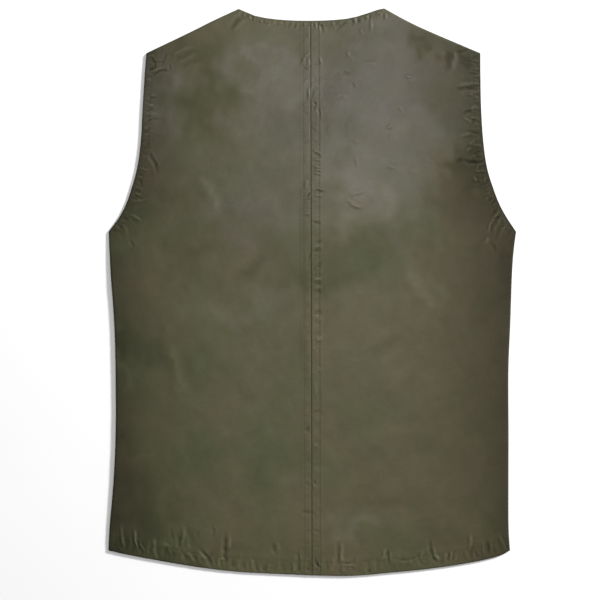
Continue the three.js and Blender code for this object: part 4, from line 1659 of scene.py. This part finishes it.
@dataclass(frozen=True)
class Stitching:
    """Topstitching: short threads in their groove that dip into the leather at both ends."""

    panel: BackPanel
    length: float = 3.5
    radius: float = 0.26
    rings: int = 7
    sides: int = 6
    lift: float = -0.04
    dip: float = 0.26
    taper: float = 0.85

    def build(self, row: StitchRow, thread: bpy.types.Material) -> bpy.types.Object:
        """Makes all the stitches of one line.

        Along a stitch t runs from -1 to 1. Its middle line stands lift over the leather and drops
        by dip times t⁴, and its radius shrinks as the root of 1 - taper times t⁴.

        Args:
            row: The line of stitches.
            thread: Their material.

        Returns:
            The object with all the stitches of the line.
        """
        edge = row.edge
        count = int(edge.length / STITCH_PITCH) - 1
        middles = (np.arange(count) + 0.5) * STITCH_PITCH
        t = np.linspace(-1.0, 1.0, self.rings)
        along = middles[:, None] + t * self.length / 2.0
        flat = edge.at(along / edge.length, row.way_in)
        ways = self.panel.outline.survey(flat.reshape(-1, 2))
        height, folds = self.panel.relief.outer(ways)
        centre = np.dstack([flat, height.reshape(count, -1) + self.lift - self.dip * t**4])
        forward = np.gradient(flat, axis=1)
        forward /= np.linalg.norm(forward, axis=2)[..., None]
        beside = np.dstack([-forward[..., 1], forward[..., 0], np.zeros_like(forward[..., 0])])
        turn = np.arange(self.sides) * 2.0 * math.pi / self.sides
        radius = (self.radius * np.sqrt(1.0 - self.taper * t**4))[None, :, None, None]
        round_it = np.cos(turn)[:, None] * beside[:, :, None, :]
        round_it = round_it + np.sin(turn)[:, None] * np.array([0.0, 0.0, 1.0])
        points = centre[:, :, None, :] + radius * round_it
        grid = np.arange(points.size // 3).reshape(count, self.rings, self.sides)
        after = np.roll(grid, -1, axis=2)
        quads = np.stack([grid[:, :-1], after[:, :-1], after[:, 1:], grid[:, 1:]], axis=-1)
        faces = [quads.reshape(-1, 4), np.vstack([grid[:, 0, ::-1], grid[:, -1]])]
        name = f"{row.word}_stitches_{self.panel.half.word}"
        piece = write_mesh(name, points.reshape(-1, 3), faces)
        # The thread takes the leather's painted shade.
        tone = self.panel.wear.layers(ways, folds)["tone"]
        store_layer(piece, "tone", np.repeat(tone, self.sides))
        piece.data.materials.append(thread)
        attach(piece, BODY)
        return piece


@dataclass(frozen=True)
class Studio:
    """The floor, the light and the camera."""

    floor_size: float = 6.0
    floor_drop: float = 0.0002
    camera_place: tuple[float, float, float] = (-0.01565, -0.01005, 1.807)
    lens: float = 84.86
    sensor: float = 36.0
    key_place: tuple[float, float, float] = (0.16, 0.38, 2.4)
    key_size: float = 0.9
    key_power: float = 19.5
    rake_place: tuple[float, float, float] = (3.4, 2.6, 2.7)
    rake_size: float = 0.8
    rake_power: float = 300.0
    world: float = 0.25

    def floor(self) -> bpy.types.Object:
        """The floor, just under the vest."""
        reach = self.floor_size / 2.0 / MM
        down = -self.floor_drop / MM
        ways = ((-1, -1), (1, -1), (1, 1), (-1, 1))
        corners = np.array([[x * reach, y * reach, down] for x, y in ways])
        floor = write_mesh("studio_floor", corners, [np.arange(4).reshape(1, 4)])
        floor.data.materials.append(Paper().material())
        return floor

    def light(self) -> None:
        """A soft light from above, one that rakes from the upper right, and a pale surround."""
        self.lamp("key", self.key_place, self.key_size, self.key_power)
        self.lamp("rake", self.rake_place, self.rake_size, self.rake_power)
        world = bpy.data.worlds.new("surround")
        world.use_nodes = True
        background = world.node_tree.nodes["Background"]
        background.inputs["Color"].default_value = (1.0, 1.0, 1.0, 1.0)
        background.inputs["Strength"].default_value = self.world
        bpy.context.scene.world = world

    def lamp(self, name: str, place: tuple[float, float, float], size: float, power: float) -> None:
        """Adds a soft square light that looks at the vest's middle."""
        lamp = bpy.data.lights.new(name, "AREA")
        lamp.shape = "SQUARE"
        lamp.size = size
        lamp.energy = power
        holder = bpy.data.objects.new(name, lamp)
        holder.location = place
        holder.rotation_euler = (-Vector(place)).to_track_quat("-Z", "Y").to_euler()
        bpy.context.scene.collection.objects.link(holder)

    def camera(self) -> None:
        """A camera straight above the vest."""
        data = bpy.data.cameras.new("camera")
        data.lens = self.lens
        data.sensor_width = self.sensor
        camera = bpy.data.objects.new("camera", data)
        camera.location = self.camera_place
        bpy.context.scene.collection.objects.link(camera)
        bpy.context.scene.camera = camera
        bpy.context.scene.view_settings.view_transform = "Standard"


@dataclass(frozen=True)
class Vest:
    """The whole vest."""

    studio: Studio = Studio()

    def build(self) -> None:
        floor = self.studio.floor()
        back_leather = Leather("olive_back_leather").material()
        front_leather = Leather("olive_front_leather").material()
        thread = Thread("sewing_thread").material()
        backs = [BackPanel(half) for half in Side]
        fronts = [FrontPanel(back) for back in backs]
        front_pieces = [front.build(front_leather) for front in fronts]
        for front, piece in zip(fronts, front_pieces, strict=True):
            self.declare(piece, front.cut(), [])
        for back in backs:
            piece = back.build(back_leather)
            stitches = [Stitching(back).build(row, thread) for row in back.relief.stitch_rows()]
            self.declare(piece, back.cut(), stitches)

    def declare(
        self,
        piece: bpy.types.Object,
        cut: Cut,
        with_pieces: Sequence[bpy.types.Object],
    ) -> None:
        """Logs a panel's faces, its stitches' faces and the size of its cut.

        Args:
            piece: The panel.
            cut: The flat piece that it was cut as.
            with_pieces: The stitches on it.
        """
        flat = (cut.width, cut.length)
        cut.area
        for part in (piece, *with_pieces):
            LOG.info("%s: %d faces", part.name, len(part.data.polygons))
        LOG.info("%s was cut as %.3f by %.3f m, %.4f square metres", piece.name, *cut)


def main() -> None:
    """Builds the vest and its studio."""
    logging.basicConfig(level=logging.INFO, format="%(name)s: %(message)s")
    vest = Vest()
    vest.studio.camera()
    vest.studio.light()
    vest.build()


if __name__ == "__main__":
    main()
